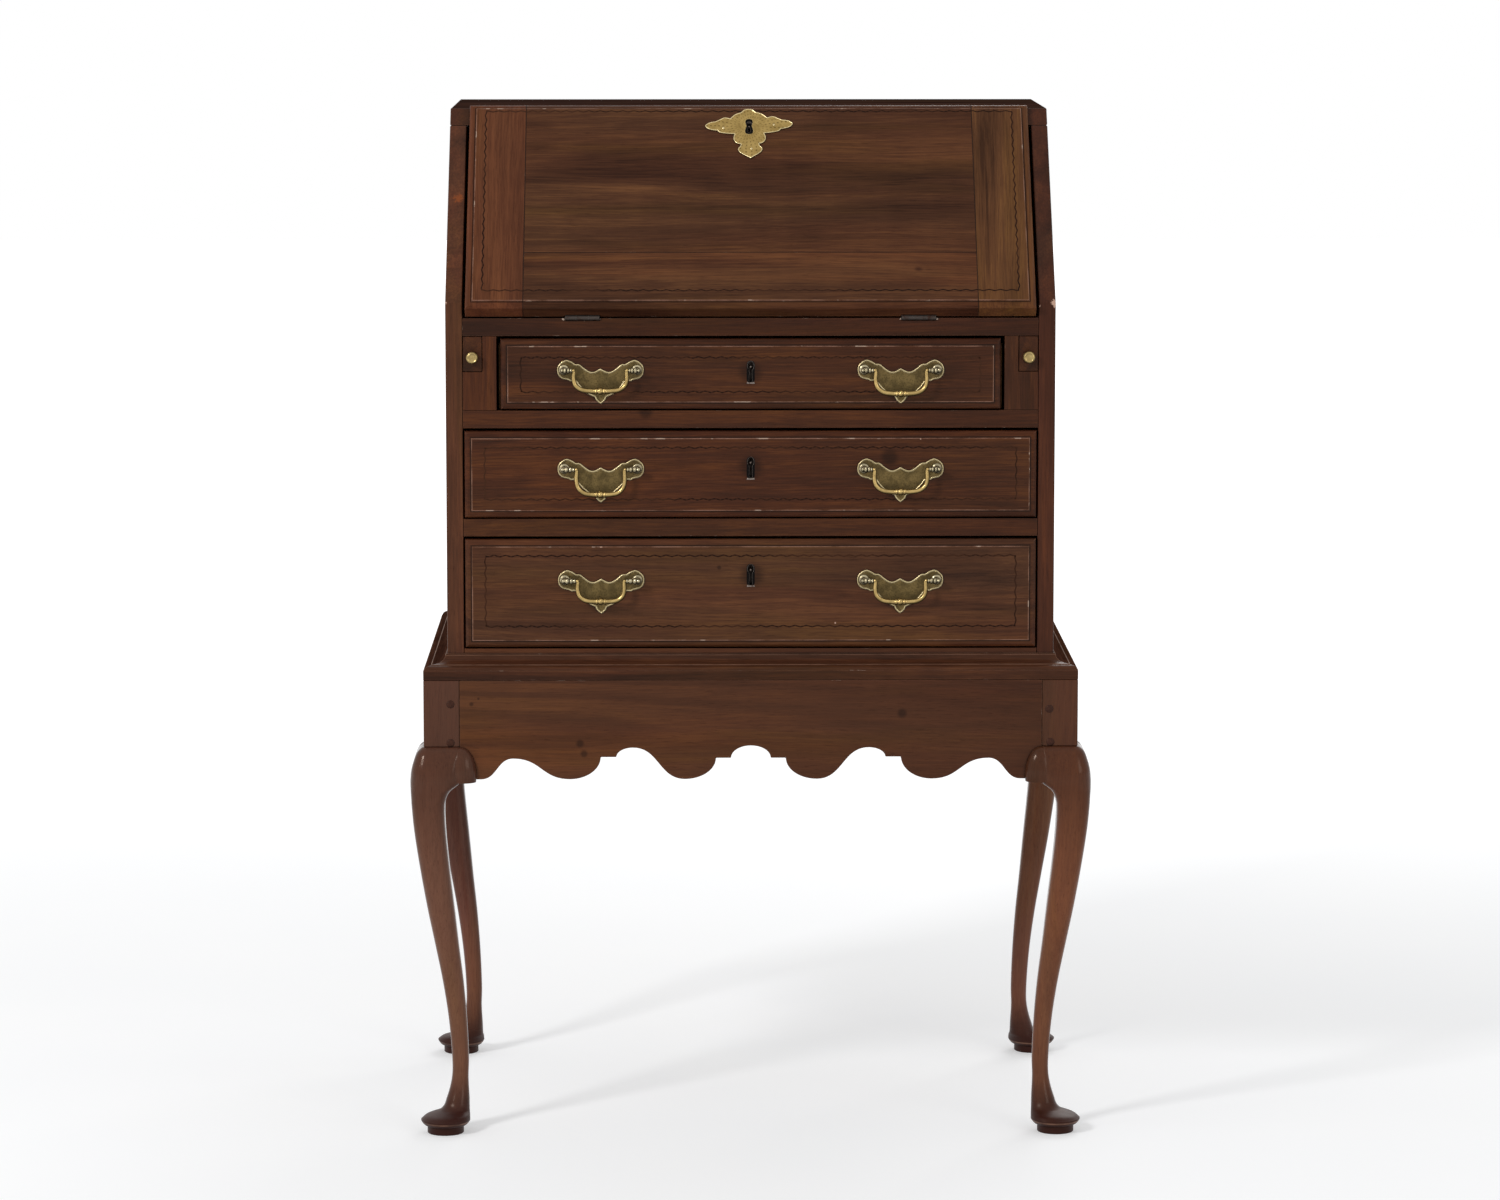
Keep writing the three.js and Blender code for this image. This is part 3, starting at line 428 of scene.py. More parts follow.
def wood(
    name, dark, middle, light, along, seed, ring=60.0, marks=(), knots=(), chips=(), seams=(), painted_arris_highlights=(),
    wear_and_highlight=0.6, red=0.3, contrast=0.72, grime=None, rim=None, darker_by_height=None, rough=(0.26, 0.4),
    wear_and_highlight_colour=(142, 104, 84), gloss=0.15,
):
    """Old walnut: growth lines, streaks and fibres along one direction, patches, pores, worn edges that also carry
    painted highlights, and painted shade in corners.
    """
    look = Look(bpy.data.materials.new(name))
    rng = random.Random(seed)
    here = look.place()
    turned = here.turned(along)
    shift = tuple(rng.uniform(-3, 3) for _ in range(3))
    shifted = turned + shift
    sway = (shifted.noise((1.9, 7.0, 7.0), output="Color") - 0.5) * (0.02, 0.034, 0.034)
    flow = turned + sway
    grain = flow + shift
    lines = (grain.noise((0.6, 8.0, 8.0), 1.0, 0.4) * ring).do("SINE").span(0.0, 1.0)
    lines = lines * shifted.noise((1.5, 11.0, 11.0)).span(0.4, 0.62)
    streak = grain.noise((3.4, 90.0, 90.0), 5.0, 0.62)
    fibre = grain.noise((18.0, 560.0, 560.0), 4.0, 0.65)
    tone = (grain.noise((1.5, 15.0, 15.0), 3.0, 0.55) - 0.5) * 0.95 + (streak - 0.5) * 0.95
    tone = tone + (fibre - 0.5) * 1.3 + (shifted.noise((30.0, 9.0, 9.0)) - 0.5) * 0.3 - lines * 0.4
    tone = tone * contrast + 0.53
    for x, y, half_x, half_y, amount in marks:
        away = (flow - (x, y, 0.0)) * (1 / half_x, 1 / half_y, 0.0)
        tone = tone + away.do("LENGTH").span(1.0, 0.0) * amount
    look.colour = look.node("ValToRGB", "Color", {"Fac": tone})
    elements = look.colour.socket.node.color_ramp.elements
    elements[0].position = 0.1
    elements[0].color = linear(*dark)
    elements[1].position = 0.9
    elements[1].color = linear(*light)
    elements.new(0.5).color = linear(*middle)
    look.tint(grain.noise((1.3, 15.0, 15.0), 3.0).span(0.38, 0.62) * red, (1.2, 0.84, 0.78))
    look.tint(shifted.noise((2.4, 24.0, 24.0), 3.0).span(0.5, 0.7) * 0.6, (0.95, 1.06, 0.74))
    pores = grain.noise((70.0, 1500.0, 1500.0), 1.0).span(0.6, 0.72)
    look.tint(pores * 0.5, (0.42, 0.38, 0.38))
    for *spot, radius in knots:
        near = (here - spot + sway * 0.25).do("LENGTH").span(radius, radius * 0.35)
        look.tint(near * 0.75, (0.25, 0.23, 0.25))

    # Wear on the edges, which also carries painted highlights, chips, and painted shade in the corners and
    # crevices
    nearby = look.corners(0.0022)
    edge = look.edges(0.001) * nearby.span(0.72, 0.92)
    patchy = shifted.noise(46.0, 4.0, 0.6)
    # Pale edges: partly wear, partly painted highlight along the edges
    rubbed_and_lit = edge * patchy.span(0.3, 0.55, 0.35, 1.0)
    look.cover(rubbed_and_lit * wear_and_highlight, wear_and_highlight_colour)
    # Painted highlights: pale glints on worn spots of the edges
    look.cover(edge * shifted.noise(85.0, 3.0).span(0.66, 0.7) * wear_and_highlight, (214, 190, 172))
    if chips:
        ragged = here.noise(420.0, 3.0, 0.6, "Color") - 0.5
    for x, y, z, radius, *tint in chips:
        near = (here - (x, y, z) + ragged * (radius * 2)).do("LENGTH").span(radius, radius * 0.6)
        look.cover(near, tint[0] if tint else (196, 160, 140))
    # Painted shade: darker in corners, crevices and gaps
    painted_corner_shade = look.corners(0.009).span(0.3, 0.9).inverse() * 0.5
    look.cover(painted_corner_shade.do("MAXIMUM", nearby.span(0.86, 0.5, 0.0, 0.75)), (22, 13, 11))

    # The moulded rim of a drawer front or of the fall, with painted shade on the moulded zone and in the fillet's
    # corner and a pale crest line that is partly wear and partly painted highlight, and the joints between the
    # fall's boards
    if rim:
        flat = turned if along == "X" else here.turned("slope_X")
        rise, middle_rise, half_a, half_b = rim
        past = abs(flat.part("X")) - (half_a - MOULDED)
        past = past.do("MAXIMUM", abs(flat.part(rise) - middle_rise) - (half_b - MOULDED))
        # Painted shade: the moulded zone darker and redder than the field
        look.tint(past.span(-0.0002, 0.0003, 0.0, 0.4), (0.8, 0.6, 0.56))
        # Painted shade: a dark line in the corner of the fillet
        look.cover(abs(past - 0.0009).span(0.0009, 0.0003, 0.0, 0.75), (24, 13, 10))
        # The crest of the fillet: a pale line, partly wear and partly painted highlight, with painted glints
        crest = abs(past + 0.0004).span(0.0007, 0.0002)
        look.cover(crest * patchy.span(0.36, 0.62, 0.08, 0.65), (150, 112, 94))
        look.cover(crest * shifted.noise(62.0, 3.0).span(0.63, 0.68, 0.0, 0.6), (206, 180, 160))
        for axis, value in seams:
            gap = abs(abs(flat.part(axis)) - value)
            look.cover(gap.span(0.0008, 0.0003, 0.0, 0.8), (22, 12, 9))
    if painted_arris_highlights or darker_by_height or grime:
        height = here.part("Z")
    # Painted highlights: pale lines along a moulding's arrises, broken into patches, standing in for their
    # reflections
    for axis, spot, up, amount in painted_arris_highlights:
        side = abs(here.part(axis)) - spot
        rise = height - up
        away = (side * side + rise * rise).do("SQRT")
        look.cover(away.span(0.001, 0.0004, 0.0, amount) * patchy.span(0.3, 0.6, 0.45, 1.0), wear_and_highlight_colour)
    # Darker beyond a height; on the legs this is painted shade towards the case
    if darker_by_height:
        *ends, factors = darker_by_height
        look.tint(height.span(*ends), factors)
    if grime:
        soot = height + (patchy - 0.5) * 0.03
        look.cover(soot.span(*grime, 0.0, 0.93), (38, 10, 10))
        lip = abs(height - LIP_HEIGHT).span(0.0013, 0.0004, 0.0, 0.75)
        look.cover(lip * patchy.span(0.36, 0.62, 0.2, 1.0), wear_and_highlight_colour)
        rough = [height.span(0.034, 0.02, value, value + 0.28) for value in rough]
    roughness = streak.span(0.3, 0.7, *rough, "LINEAR") + rubbed_and_lit * 0.12 + pores * 0.1
    relief = fibre * 0.35 + streak * 0.5 - pores * 0.5 + shifted.noise((5.0, 16.0, 16.0)) * 3.0
    tint = (1.0, 0.8, 0.66, 1.0)
    return look.finish(roughness, relief, 0.16, 0.0004, Specular_IOR_Level=gloss, Specular_Tint=tint)


def brass(name, base, tarnish, rough, stipple=0.0, rays=False, age=0.6, soot=0.004, relief=0.0):
    """Old brass: polished where hands touch it, olive and dull in its corners, with pale edges that are partly
    polish and partly painted highlight, and painted shade where relief is given.
    """
    look = Look(bpy.data.materials.new(name))
    here = look.place()
    cloud = here.noise(130.0, 4.0, 0.6)
    fine_cloud = here.noise(900.0, 3.0, 0.6)
    dull = (cloud.span(0.35, 0.68) * age).do("MAXIMUM", look.corners(soot).span(0.3, 0.85).inverse())
    look.colour = look.mix(dull, linear(*base), linear(*tarnish))
    look.tint(fine_cloud.span(0.55, 0.75, 0.0, 0.35), (0.6, 0.55, 0.45))
    edge = look.edges(0.0005)
    if relief:
        # Painted shade: faces turned away from a light above, left and in front take a dark tarnish colour, and
        # the pale edges are kept to faces towards that light
        up = look.normal().do("DOT_PRODUCT", (-0.42, -0.5, 0.76))
        look.cover(up.span(0.75, -0.1, 0.0, relief), [share * 0.45 for share in tarnish])
        edge = edge * up.span(0.1, 0.8)
    # Painted highlight along the edges, partly real polish
    look.cover(edge * 0.7, (232, 214, 166))
    height = fine_cloud * 0.25
    if stipple:
        values = {"Vector": here, "Scale": stipple}
        dots = look.node("TexVoronoi", "Distance", values, feature="F1").span(0.1, 0.5)
        height = height + dots * 0.8
        look.cover(dots.inverse() * 0.75, (62, 52, 30))
    if rays:
        centre = FALL_TO_DESK.to_3x3().inverted() @ (FALL_TO_DESK @ Vector((0.0, FALL_LENGTH_TO_PLATE, 0.0)))
        away = here.turned("slope_X") - (0.0, centre.y, 0.0)
        angle = away.part("Y").do("ARCTAN2", away.part("X"))
        reach = (away * (1.0, 1.0, 0.0)).do("LENGTH")
        lines = (cloud * 5.0 + angle * 34.0).do("SINE").span(0.45, 0.95)
        lines = lines * (reach * 1500.0 + angle * 6.0).do("SINE").span(-0.4, 0.6)
        height = height - lines * 1.4
        look.cover(lines * 0.7, (92, 72, 36))
    return look.finish(dull * 0.22 + rough - edge * 0.12, height, 0.3, 0.0003, Metallic=1.0)


def iron(name, base=(66, 59, 55)):
    look = Look(bpy.data.materials.new(name))
    cloud = look.place().noise(160.0, 5.0, 0.65)
    look.colour = look.mix(cloud.span(0.5, 0.72), linear(*base), linear(56, 35, 26))
    # Painted highlight: pale lines along the edges
    look.cover(look.edges(0.0005) * 0.5, (150, 142, 134))
    return look.finish(cloud.span(0.3, 0.7, 0.42, 0.68, "LINEAR"), cloud, 0.35, 0.0004, Metallic=0.85)


def line_material(name, first, second, along):
    """Thin inlaid line of short slanted pieces, light and dark by turns."""
    look = Look(bpy.data.materials.new(name))
    here = look.place()
    turned = here.turned(along)
    wave = ((turned.part("X") + turned.part("Y")) * (2 * math.pi / 0.0042)).do("SINE")
    patchy = here.noise(60.0, 3.0)
    share = wave.span(-0.2, 0.5) * patchy.span(0.35, 0.6, 0.35, 1.0)
    look.colour = look.mix(share, linear(*first), linear(*second))
    look.cover(here.noise(11.0).span(0.42, 0.62, 0.0, 0.75), (68, 42, 28))
    return look.finish(0.55, patchy, 0.1, 0.0003, Specular_IOR_Level=0.05)


# A dark matte sheet for a hollow's painted shade, used in keyholes and screw slots
def dark_material(name, colour):
    look = Look(bpy.data.materials.new(name))
    cloud = look.place().noise(300.0, 3.0)
    look.colour = look.mix(cloud, linear(*colour), (0.002, 0.002, 0.002, 1))
    return look.finish(0.85, cloud, 0.2, 0.0004, Specular_IOR_Level=0.1)


# The colours, from dark to light
FIELD = ((48, 27, 18), (76, 47, 31), (105, 69, 43))
DEEP = ((40, 21, 13), (64, 35, 21), (92, 54, 29))
REDDISH = ((50, 26, 17), (79, 46, 30), (106, 65, 38))
TAWNY = ((60, 36, 22), (92, 59, 37), (124, 84, 48))
LEG = ((76, 47, 36), (108, 73, 57), (128, 90, 70))
LEG_WARM = ((74, 42, 28), (108, 68, 47), (132, 87, 58))
LEG_REAR = ((74, 41, 32), (109, 68, 55), (130, 88, 68))
INSIDE = ((72, 44, 29), (103, 66, 42), (134, 90, 57))
PLAIN = ((98, 69, 43), (138, 101, 65), (170, 130, 86))
WORN_SPOT = (188, 166, 150)

FALL_RIM = ("Y", 0.6339, 0.285, 0.12875)
FALL_SEAMS = (("X", CLEAT_EDGE), ("Y", 0.572))
ON_FALL = {"rim": FALL_RIM, "seams": FALL_SEAMS, "gloss": 0.09}
ON_CLEAT = {"rim": FALL_RIM, "seams": FALL_SEAMS[:1], "gloss": 0.09, "wear_and_highlight": 0.8}
fall_upper = wood("walnut_fall_upper", *FIELD, "slope_X", 3, red=0.25, wear_and_highlight=0.45, **ON_FALL, marks=(
    (-0.125, 0.654, 0.11, 0.013, 0.36),
    (-0.03, 0.645, 0.09, 0.009, 0.2),
    (0.03, 0.634, 0.09, 0.006, 0.1),
    (-0.1, 0.631, 0.2, 0.0035, -0.2),
    (-0.18, 0.592, 0.09, 0.004, -0.24),
    (-0.1, 0.5785, 0.2, 0.004, 0.32),
    (0.16, 0.628, 0.1, 0.022, -0.26),
    (0.04, 0.676, 0.09, 0.016, -0.16),
    (0.17, 0.668, 0.09, 0.014, -0.16),
    (-0.22, 0.705, 0.035, 0.012, -0.2),
    (-0.22, 0.734, 0.03, 0.01, -0.2),
))
fall_lower = wood("walnut_fall_lower", *FIELD, "slope_X", 5, red=0.4, wear_and_highlight=0.7, **ON_FALL, marks=(
    (0.0, 0.54, 0.34, 0.045, 0.14),
    (0.1, 0.545, 0.16, 0.014, 0.14),
    (-0.13, 0.556, 0.1, 0.016, 0.14),
    (0.17, 0.548, 0.006, 0.004, -0.45),
    (-0.2, 0.53, 0.06, 0.012, -0.18),
))
cleat_woods = {
    "left": wood("walnut_cleat_left", (56, 31, 20), (84, 50, 33), (110, 69, 45), "slope_Y", 8, red=0.25,
                 **ON_CLEAT),
    "right": wood("walnut_cleat_right", *TAWNY, "slope_Y", 12, red=0.1, **ON_CLEAT, marks=(
        (0.7, -0.2375, 0.06, 0.0022, -0.34),
        (0.64, -0.241, 0.06, 0.0022, -0.34),
        (0.57, -0.2425, 0.07, 0.0022, -0.3),
        (0.62, -0.256, 0.16, 0.01, 0.2),
    )),
}
drawer_woods = {
    "top": wood("walnut_drawer_top", *DEEP, "X", 21, red=0.2, wear_and_highlight=0.75, contrast=0.9,
                rim=("Z", 0.77275, 0.25, 0.03525), knots=spots(DRAWER_FACE, (0.0, 0.775, 0.016))),
    "middle": wood("walnut_drawer_middle", *DEEP, "X", 24, red=0.3, wear_and_highlight=0.85, contrast=0.9,
                   rim=("Z", 0.672, 0.2865, 0.0435),
                   knots=spots(DRAWER_FACE, (0.139, 0.688, 0.012), (0.0, 0.6786, 0.016)),
                   chips=spots(DRAWER_FACE, (0.17, 0.7075, 0.0009), (-0.05, 0.7085, 0.0008))),
    "bottom": wood("walnut_drawer_bottom", *FIELD, "X", 27, red=0.35, wear_and_highlight=0.85,
                   rim=("Z", 0.55185, 0.2865, 0.05465),
                   knots=spots(DRAWER_FACE, (-0.032, 0.578, 0.003), (0.001, 0.5705, 0.016)),
                   chips=spots(DRAWER_FACE, (-0.15, 0.5995, 0.0014), (0.085, 0.522, 0.001))),
}
rail_wood = wood("walnut_rails", *DEEP, "X", 31, red=0.25, knots=spots(CASE_FRONT, (-0.106, 0.7345, 0.01)))
side_chips = spots(CASE_FRONT, (0.304, 0.8435, 0.0045), (-0.304, 0.8445, 0.002), (0.2885, 0.84, 0.0016))
side_chips.append((-0.294, -0.103, 0.943, 0.006, (126, 66, 34)))
# The right side is a darker copy of the left: partly its own tone, partly painted shade on the side away from the
# light
side_woods = {
    side: wood(f"walnut_side_{side}", *colours, "Z", seed, red=0.5, chips=side_chips)
    for side, seed, colours in (
        ("left", 36, ((55, 31, 21), (83, 49, 33), (108, 67, 43))),
        ("right", 37, ((44, 23, 16), (65, 37, 25), (87, 52, 33))),
    )
}
# The top's dark colour and lack of gloss are partly its own tone and partly a painted dark reflection
top_wood = wood("walnut_top", (34, 22, 19), (55, 38, 32), (72, 51, 41), "X", 41, red=0.25, rough=(0.5, 0.6),
                gloss=0.0)
stile_wood = wood("walnut_stiles", *DEEP, "Z", 45, red=0.35, wear_and_highlight=0.25)
loper_wood = wood("walnut_lopers", (38, 20, 13), (60, 33, 20), (86, 51, 29), "Y", 48, red=0.3, wear_and_highlight=0.2)
# The mouldings' pale arris lines are painted highlights; the sides have no gloss of their own, and the front is
# darker towards its bottom
moulding_woods = {
    "front": wood("walnut_moulding_front", (46, 25, 16), (73, 42, 27), (101, 62, 37), "X", 52, red=0.4,
                  wear_and_highlight=0.5, darker_by_height=(0.4775, 0.4745, (0.8, 0.76, 0.76)),
                  chips=spots(FRAME_FRONT + 0.001, (-0.116, 0.4807, 0.0014)),
                  painted_arris_highlights=[("Y", -FRAME_FRONT - inset, up, amount)
                           for inset, up, amount in ((0.0077, 0.4814, 0.55), (0.0213, 0.4894, 0.3))]),
    "side": wood("walnut_moulding_sides", (40, 24, 18), (64, 41, 31), (90, 60, 46), "Y", 54,
                 gloss=0.0, rough=(0.6, 0.7), wear_and_highlight_colour=(188, 164, 150),
                 painted_arris_highlights=[("X", FRAME_HALF - inset, up, amount) for inset, up, amount in (
                     (0.0, 0.4763, 0.6), (0.0077, 0.4814, 0.8), (0.0155, 0.4835, 0.4),
                     (0.0215, 0.4894, 0.6), (0.0222, 0.4907, 0.4))]),
}
# Its two broad marks lighten the left end and darken the right end: painted light falling off from left to right
apron_front_wood = wood(
    "walnut_apron_front", (52, 29, 19), (77, 45, 29), (104, 64, 38), "X", 57, red=0.35, contrast=0.44,
    marks=((-0.34, FRAME_FRONT, 0.36, 1.0, 0.16), (0.34, FRAME_FRONT, 0.36, 1.0, -0.14)),
    knots=spots(FRAME_FRONT, (-0.172, 0.4016, 0.0055), (-0.168, 0.3915, 0.005), (-0.2806, 0.4414, 0.003),
                (-0.2737, 0.447, 0.0018), (0.152, 0.4318, 0.0065)),
)
apron_side_wood = wood("walnut_apron_sides", *REDDISH, "Y", 59, red=0.3)
# Painted shade: each leg darker towards the top, under the apron and the case, the rear left one most
LEG_SHADE = (0.24, 0.385, (0.46, 0.42, 0.4))
leg_woods = {
    part: wood(f"walnut_legs_{part}", *colours, "Z", seed, ring=24.0, red=0.4, contrast=0.42, wear_and_highlight=0.35,
               grime=(0.075, 0.012), rough=(0.13, 0.2), gloss=0.2, darker_by_height=darker_by_height)
    for part, colours, seed, darker_by_height in (
        ("front_left", LEG, 63, LEG_SHADE), ("front_right", LEG_WARM, 64, LEG_SHADE),
        ("rear_left", LEG_REAR, 65, (0.07, 0.27, (0.45, 0.44, 0.46))),
        ("rear_right", LEG_REAR, 65, (0.07, 0.27, (0.88, 0.9, 0.64))),
    )
}
inside_wood = wood("walnut_inside", *INSIDE, "X", 67, red=0.3, wear_and_highlight=0.3)
HINGE = sum(corner.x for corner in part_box("bed_hinge_leaf_right")) / 2
bed_wood = wood("walnut_bed", (30, 15, 10), (48, 25, 16), (71, 40, 24), "X", 69, red=0.4, chips=spots(
    CASE_FRONT, *((sign * HINGE + x, z, size, WORN_SPOT) for sign, x, z, size in (
        (-1, -0.019, 0.8275, 0.0015), (-1, 0.017, 0.8278, 0.0013), (-1, 0.002, 0.8262, 0.001),
        (1, -0.018, 0.8276, 0.0013), (1, 0.018, 0.8277, 0.0015),
    )),
))
back_woods = [
    wood(f"pine_back_{i}", (84, 59, 37), (120, 88, 56), (148, 112, 73), "X", 71 + i, red=0.3, wear_and_highlight=0.2,
         rough=(0.6, 0.75)) for i in range(4)
]
box_wood = wood("drawer_linings", *PLAIN, "Y", 81, red=0.1, wear_and_highlight=0.25, rough=(0.55, 0.7))
end_wood = wood("peg_ends", (36, 20, 16), (56, 33, 26), (76, 47, 35), "Y", 85, wear_and_highlight=0.2)

plate_brass = brass("brass_plate_field", (106, 89, 56), (60, 51, 33), 0.42, stipple=640.0)
rim_brass = brass("brass_plate_rim", (214, 196, 152), (146, 126, 82), 0.3, age=0.3, soot=0.0006, relief=0.85)
bail_brass = brass("brass_bails", (192, 164, 106), (104, 84, 46), 0.22, age=0.4, soot=0.0015, relief=0.9)
post_brass = brass("brass_posts", (186, 174, 142), (60, 54, 38), 0.22, age=0.45, soot=0.002, relief=0.8)
knob_brass = brass("brass_knobs", (172, 150, 100), (98, 80, 46), 0.24, age=0.4, relief=0.5)
shield_brass = brass("brass_escutcheon", (168, 142, 86), (134, 111, 62), 0.45, rays=True)
shield_rim = brass("brass_escutcheon_rim", (212, 194, 148), (160, 140, 92), 0.34, age=0.3, soot=0.0006,
                   relief=0.5)
old_iron = iron("old_iron")
lining = iron("keyhole_lining")
worn_iron = iron("keyhole_foot", (130, 118, 110))
painted_hollow_shade = dark_material("keyhole_painted_shade", (14, 10, 9))
inlay_dark = line_material("inlay_dark", (32, 17, 11), (54, 31, 20), "X")
inlay_slope = line_material("inlay_slope", (26, 14, 9), (48, 28, 18), "slope_X")


# Camera, floor and light
def make_camera():
    data = bpy.data.cameras.new("camera")
    data.lens = 130.05
    data.sensor_width = 36
    data.clip_end = 100
    camera = bpy.data.objects.new("camera", data)
    camera.location = (-0.0642, -5.5907, 1.2513)
    camera.rotation_euler = (math.radians(90 - 7.455), 0, -0.01177)
    bpy.context.scene.collection.objects.link(camera)
    bpy.context.scene.camera = camera


def seen_directly(look):
    """1 for rays that come from the camera, a mirror or glass."""
    ray = look.node("LightPath", 0)
    share = ray.beside("Is Camera Ray").do("MAXIMUM", ray.beside("Is Glossy Ray"))
    return share.do("MAXIMUM", ray.beside("Is Transmission Ray"))


def make_stage():
    bm = bmesh.new()
    bmesh.ops.create_grid(bm, x_segments=1, y_segments=1, size=14)
    look = Look(bpy.data.materials.new("white_floor"))
    floor = new_object("floor", bm, look.owner, flat=True)
    cloud = look.place().noise(3.0, 3.0).span(0.3, 0.7, 0.0, 0.5)
    shade = look.mix(cloud, (0.8, 0.8, 0.8, 1), (0.775, 0.78, 0.79, 1))
    # The floor's own glow, from near the desk to far away
    glow = look.place().do("LENGTH").span(0.6, 6.5, 0.31, 1.0)
    light = look.node("Emission", 0, {"Strength": seen_directly(look) * glow})
    both = look.node("AddShader", 0, {0: look.node("BsdfDiffuse", 0, {"Color": shade}), 1: light})
    look.node("OutputMaterial", None, {"Surface": both})

    world = bpy.data.worlds.new("studio")
    bpy.context.scene.world = world
    look = Look(world)
    room = look.node("Background", 0, {"Color": (0.97, 0.985, 1.0, 1), "Strength": 0.5})
    white = look.node("Background", 0, {"Color": (1.0, 1.0, 1.0, 1), "Strength": 1.0})
    both = look.node("MixShader", 0, {0: seen_directly(look), 1: room, 2: white})
    look.node("OutputWorld", None, {"Surface": both})


def lamp(name, place_at, aim, size, power):
    data = bpy.data.lights.new(name, "AREA")
    data.shape = "RECTANGLE"
    data.size, data.size_y = size
    data.energy = power
    obj = bpy.data.objects.new(name, data)
    obj.location = place_at
    obj.rotation_euler = (Vector(aim) - Vector(place_at)).to_track_quat("-Z", "Y").to_euler()
    bpy.context.scene.collection.objects.link(obj)


# Legs: height as a share of the way from the foot's rim to the knee line, outer and inner faces as shares of
# the block, then how round the outer, side and inner corners are
LEG_SHARES = [
    (0.0128, -0.02, 1.2, 0.47, 0.47, 0.47),
    (0.0232, 0.36, 1.186, 0.47, 0.47, 0.47),
    (0.0521, 0.53, 1.18, 0.47, 0.47, 0.47),
    (0.1059, 0.68, 1.153, 0.47, 0.47, 0.47),
    (0.1576, 0.694, 1.167, 0.47, 0.47, 0.47),
    (0.262, 0.611, 1.125, 0.46, 0.46, 0.46),
    (0.3653, 0.458, 1.042, 0.44, 0.45, 0.44),
    (0.4718, 0.25, 0.917, 0.42, 0.43, 0.4),
    (0.5752, 0.042, 0.806, 0.4, 0.4, 0.36),
    (0.692, -0.158, 0.675, 0.37, 0.37, 0.3),
    (0.7829, -0.29, 0.594, 0.36, 0.33, 0.26),
    (0.847, -0.35, 0.578, 0.35, 0.3, 0.22),
    (0.8677, -0.361, 0.625, 0.34, 0.26, 0.18),
    (0.8832, -0.372, 0.708, 0.33, 0.22, 0.14),
    (0.8935, -0.378, 0.819, 0.33, 0.18, 0.1),
    (0.9039, -0.3823, 0.972, 0.32, 0.21, 0.08),
    (0.9142, -0.381, 1.0, 0.32, 0.21, 0.06),
    (0.9401, -0.353, 1.0, 0.3, 0.2, 0.05),
    (0.9659, -0.278, 1.0, 0.28, 0.15, 0.05),
    (0.9866, -0.185, 1.0, 0.24, 0.08, 0.04),
    (0.9985, -0.05, 1.0, 0.14, 0.05, 0.03),
    (1.0, 0.004, 1.0, 0.08, 0.03, 0.03),
]
FOOT_INSET = 0.0185
FOOT_RIM = 0.013
FOOT_RADIUS = 0.02497
FOOT_SHOE = ((0.0, 0.0355), (0.0007, 0.037), (0.0075, 0.037), (0.008, 0.0385))
EAR_LOW = 0.3635


def leg_ring(z, outer, inner, *rounds):
    """A square section with its own roundness at the outer, side and inner corners."""
    points = []
    for u, v, share, quarter in (
        (outer, outer, rounds[0], 2), (inner, outer, rounds[1], 3),
        (inner, inner, rounds[2], 0), (outer, inner, rounds[1], 1),
    ):
        radius = share * (inner - outer)
        middle_u = u + radius if u == outer else u - radius
        middle_v = v + radius if v == outer else v - radius
        for k in range(13):
            angle = (quarter + k / 12) * QUARTER
            points.append((middle_u + radius * math.cos(angle), middle_v + radius * math.sin(angle), z))
    return points


def foot_ring(z, diameter):
    return leg_ring(z, FOOT_INSET - diameter / 2, FOOT_INSET + diameter / 2, 0.5, 0.5, 0.5)


def eased_rows(rows, steps):
    """Rows between the given ones, smooth in every column, with the first column even."""
    slopes = []
    for i in range(len(rows)):
        low = rows[max(i - 1, 0)]
        high = rows[min(i + 1, len(rows) - 1)]
        slopes.append([(b - a) / (high[0] - low[0]) for a, b in zip(low, high)])
    result = []
    for i in range(len(rows) - 1):
        gap = rows[i + 1][0] - rows[i][0]
        for k in range(steps):
            t = k / steps
            h = (2 * t**3 - 3 * t * t + 1, t**3 - 2 * t * t + t, 3 * t * t - 2 * t**3, t**3 - t * t)
            ends = list(zip(rows[i], slopes[i], rows[i + 1], slopes[i + 1]))
            row = [h[0] * a + h[1] * gap * b + h[2] * c + h[3] * gap * d for a, b, c, d in ends[1:]]
            result.append([rows[i][0] + gap * t] + row)
    result.append(list(rows[-1]))
    return result


def add_ear(bm, scratch, swap):
    """The small scroll beside a knee, under the apron's end."""
    ear = bmesh.new()
    bmesh.ops.create_uvsphere(ear, u_segments=64, v_segments=40, radius=1)
    for vertex in ear.verts:
        x, y, z = vertex.co
        vertex.co = (BLOCK + 0.001 + 0.016 * x, 0.0117 * y, KNEE - 0.028 + 0.028 * z)
    for point, normal in (
        ((0, 0, EAR_LOW), (0, 0, -1)), ((0, -0.0002, 0), (0, 1, 0)), ((0.02, 0, 0), (-1, 0, 0)),
    ):
        slice_off(ear, point, normal)
    lowest = [e for e in ear.edges if all(abs(v.co.z - EAR_LOW) < 1e-5 and v.co.y < -0.0004 for v in e.verts)]
    round_edges(ear, lowest, 0.0022, 3)
    if swap:
        for vertex in ear.verts:
            vertex.co = (vertex.co.y, vertex.co.x, vertex.co.z)
    ear.to_mesh(scratch)
    ear.free()
    bm.from_mesh(scratch)


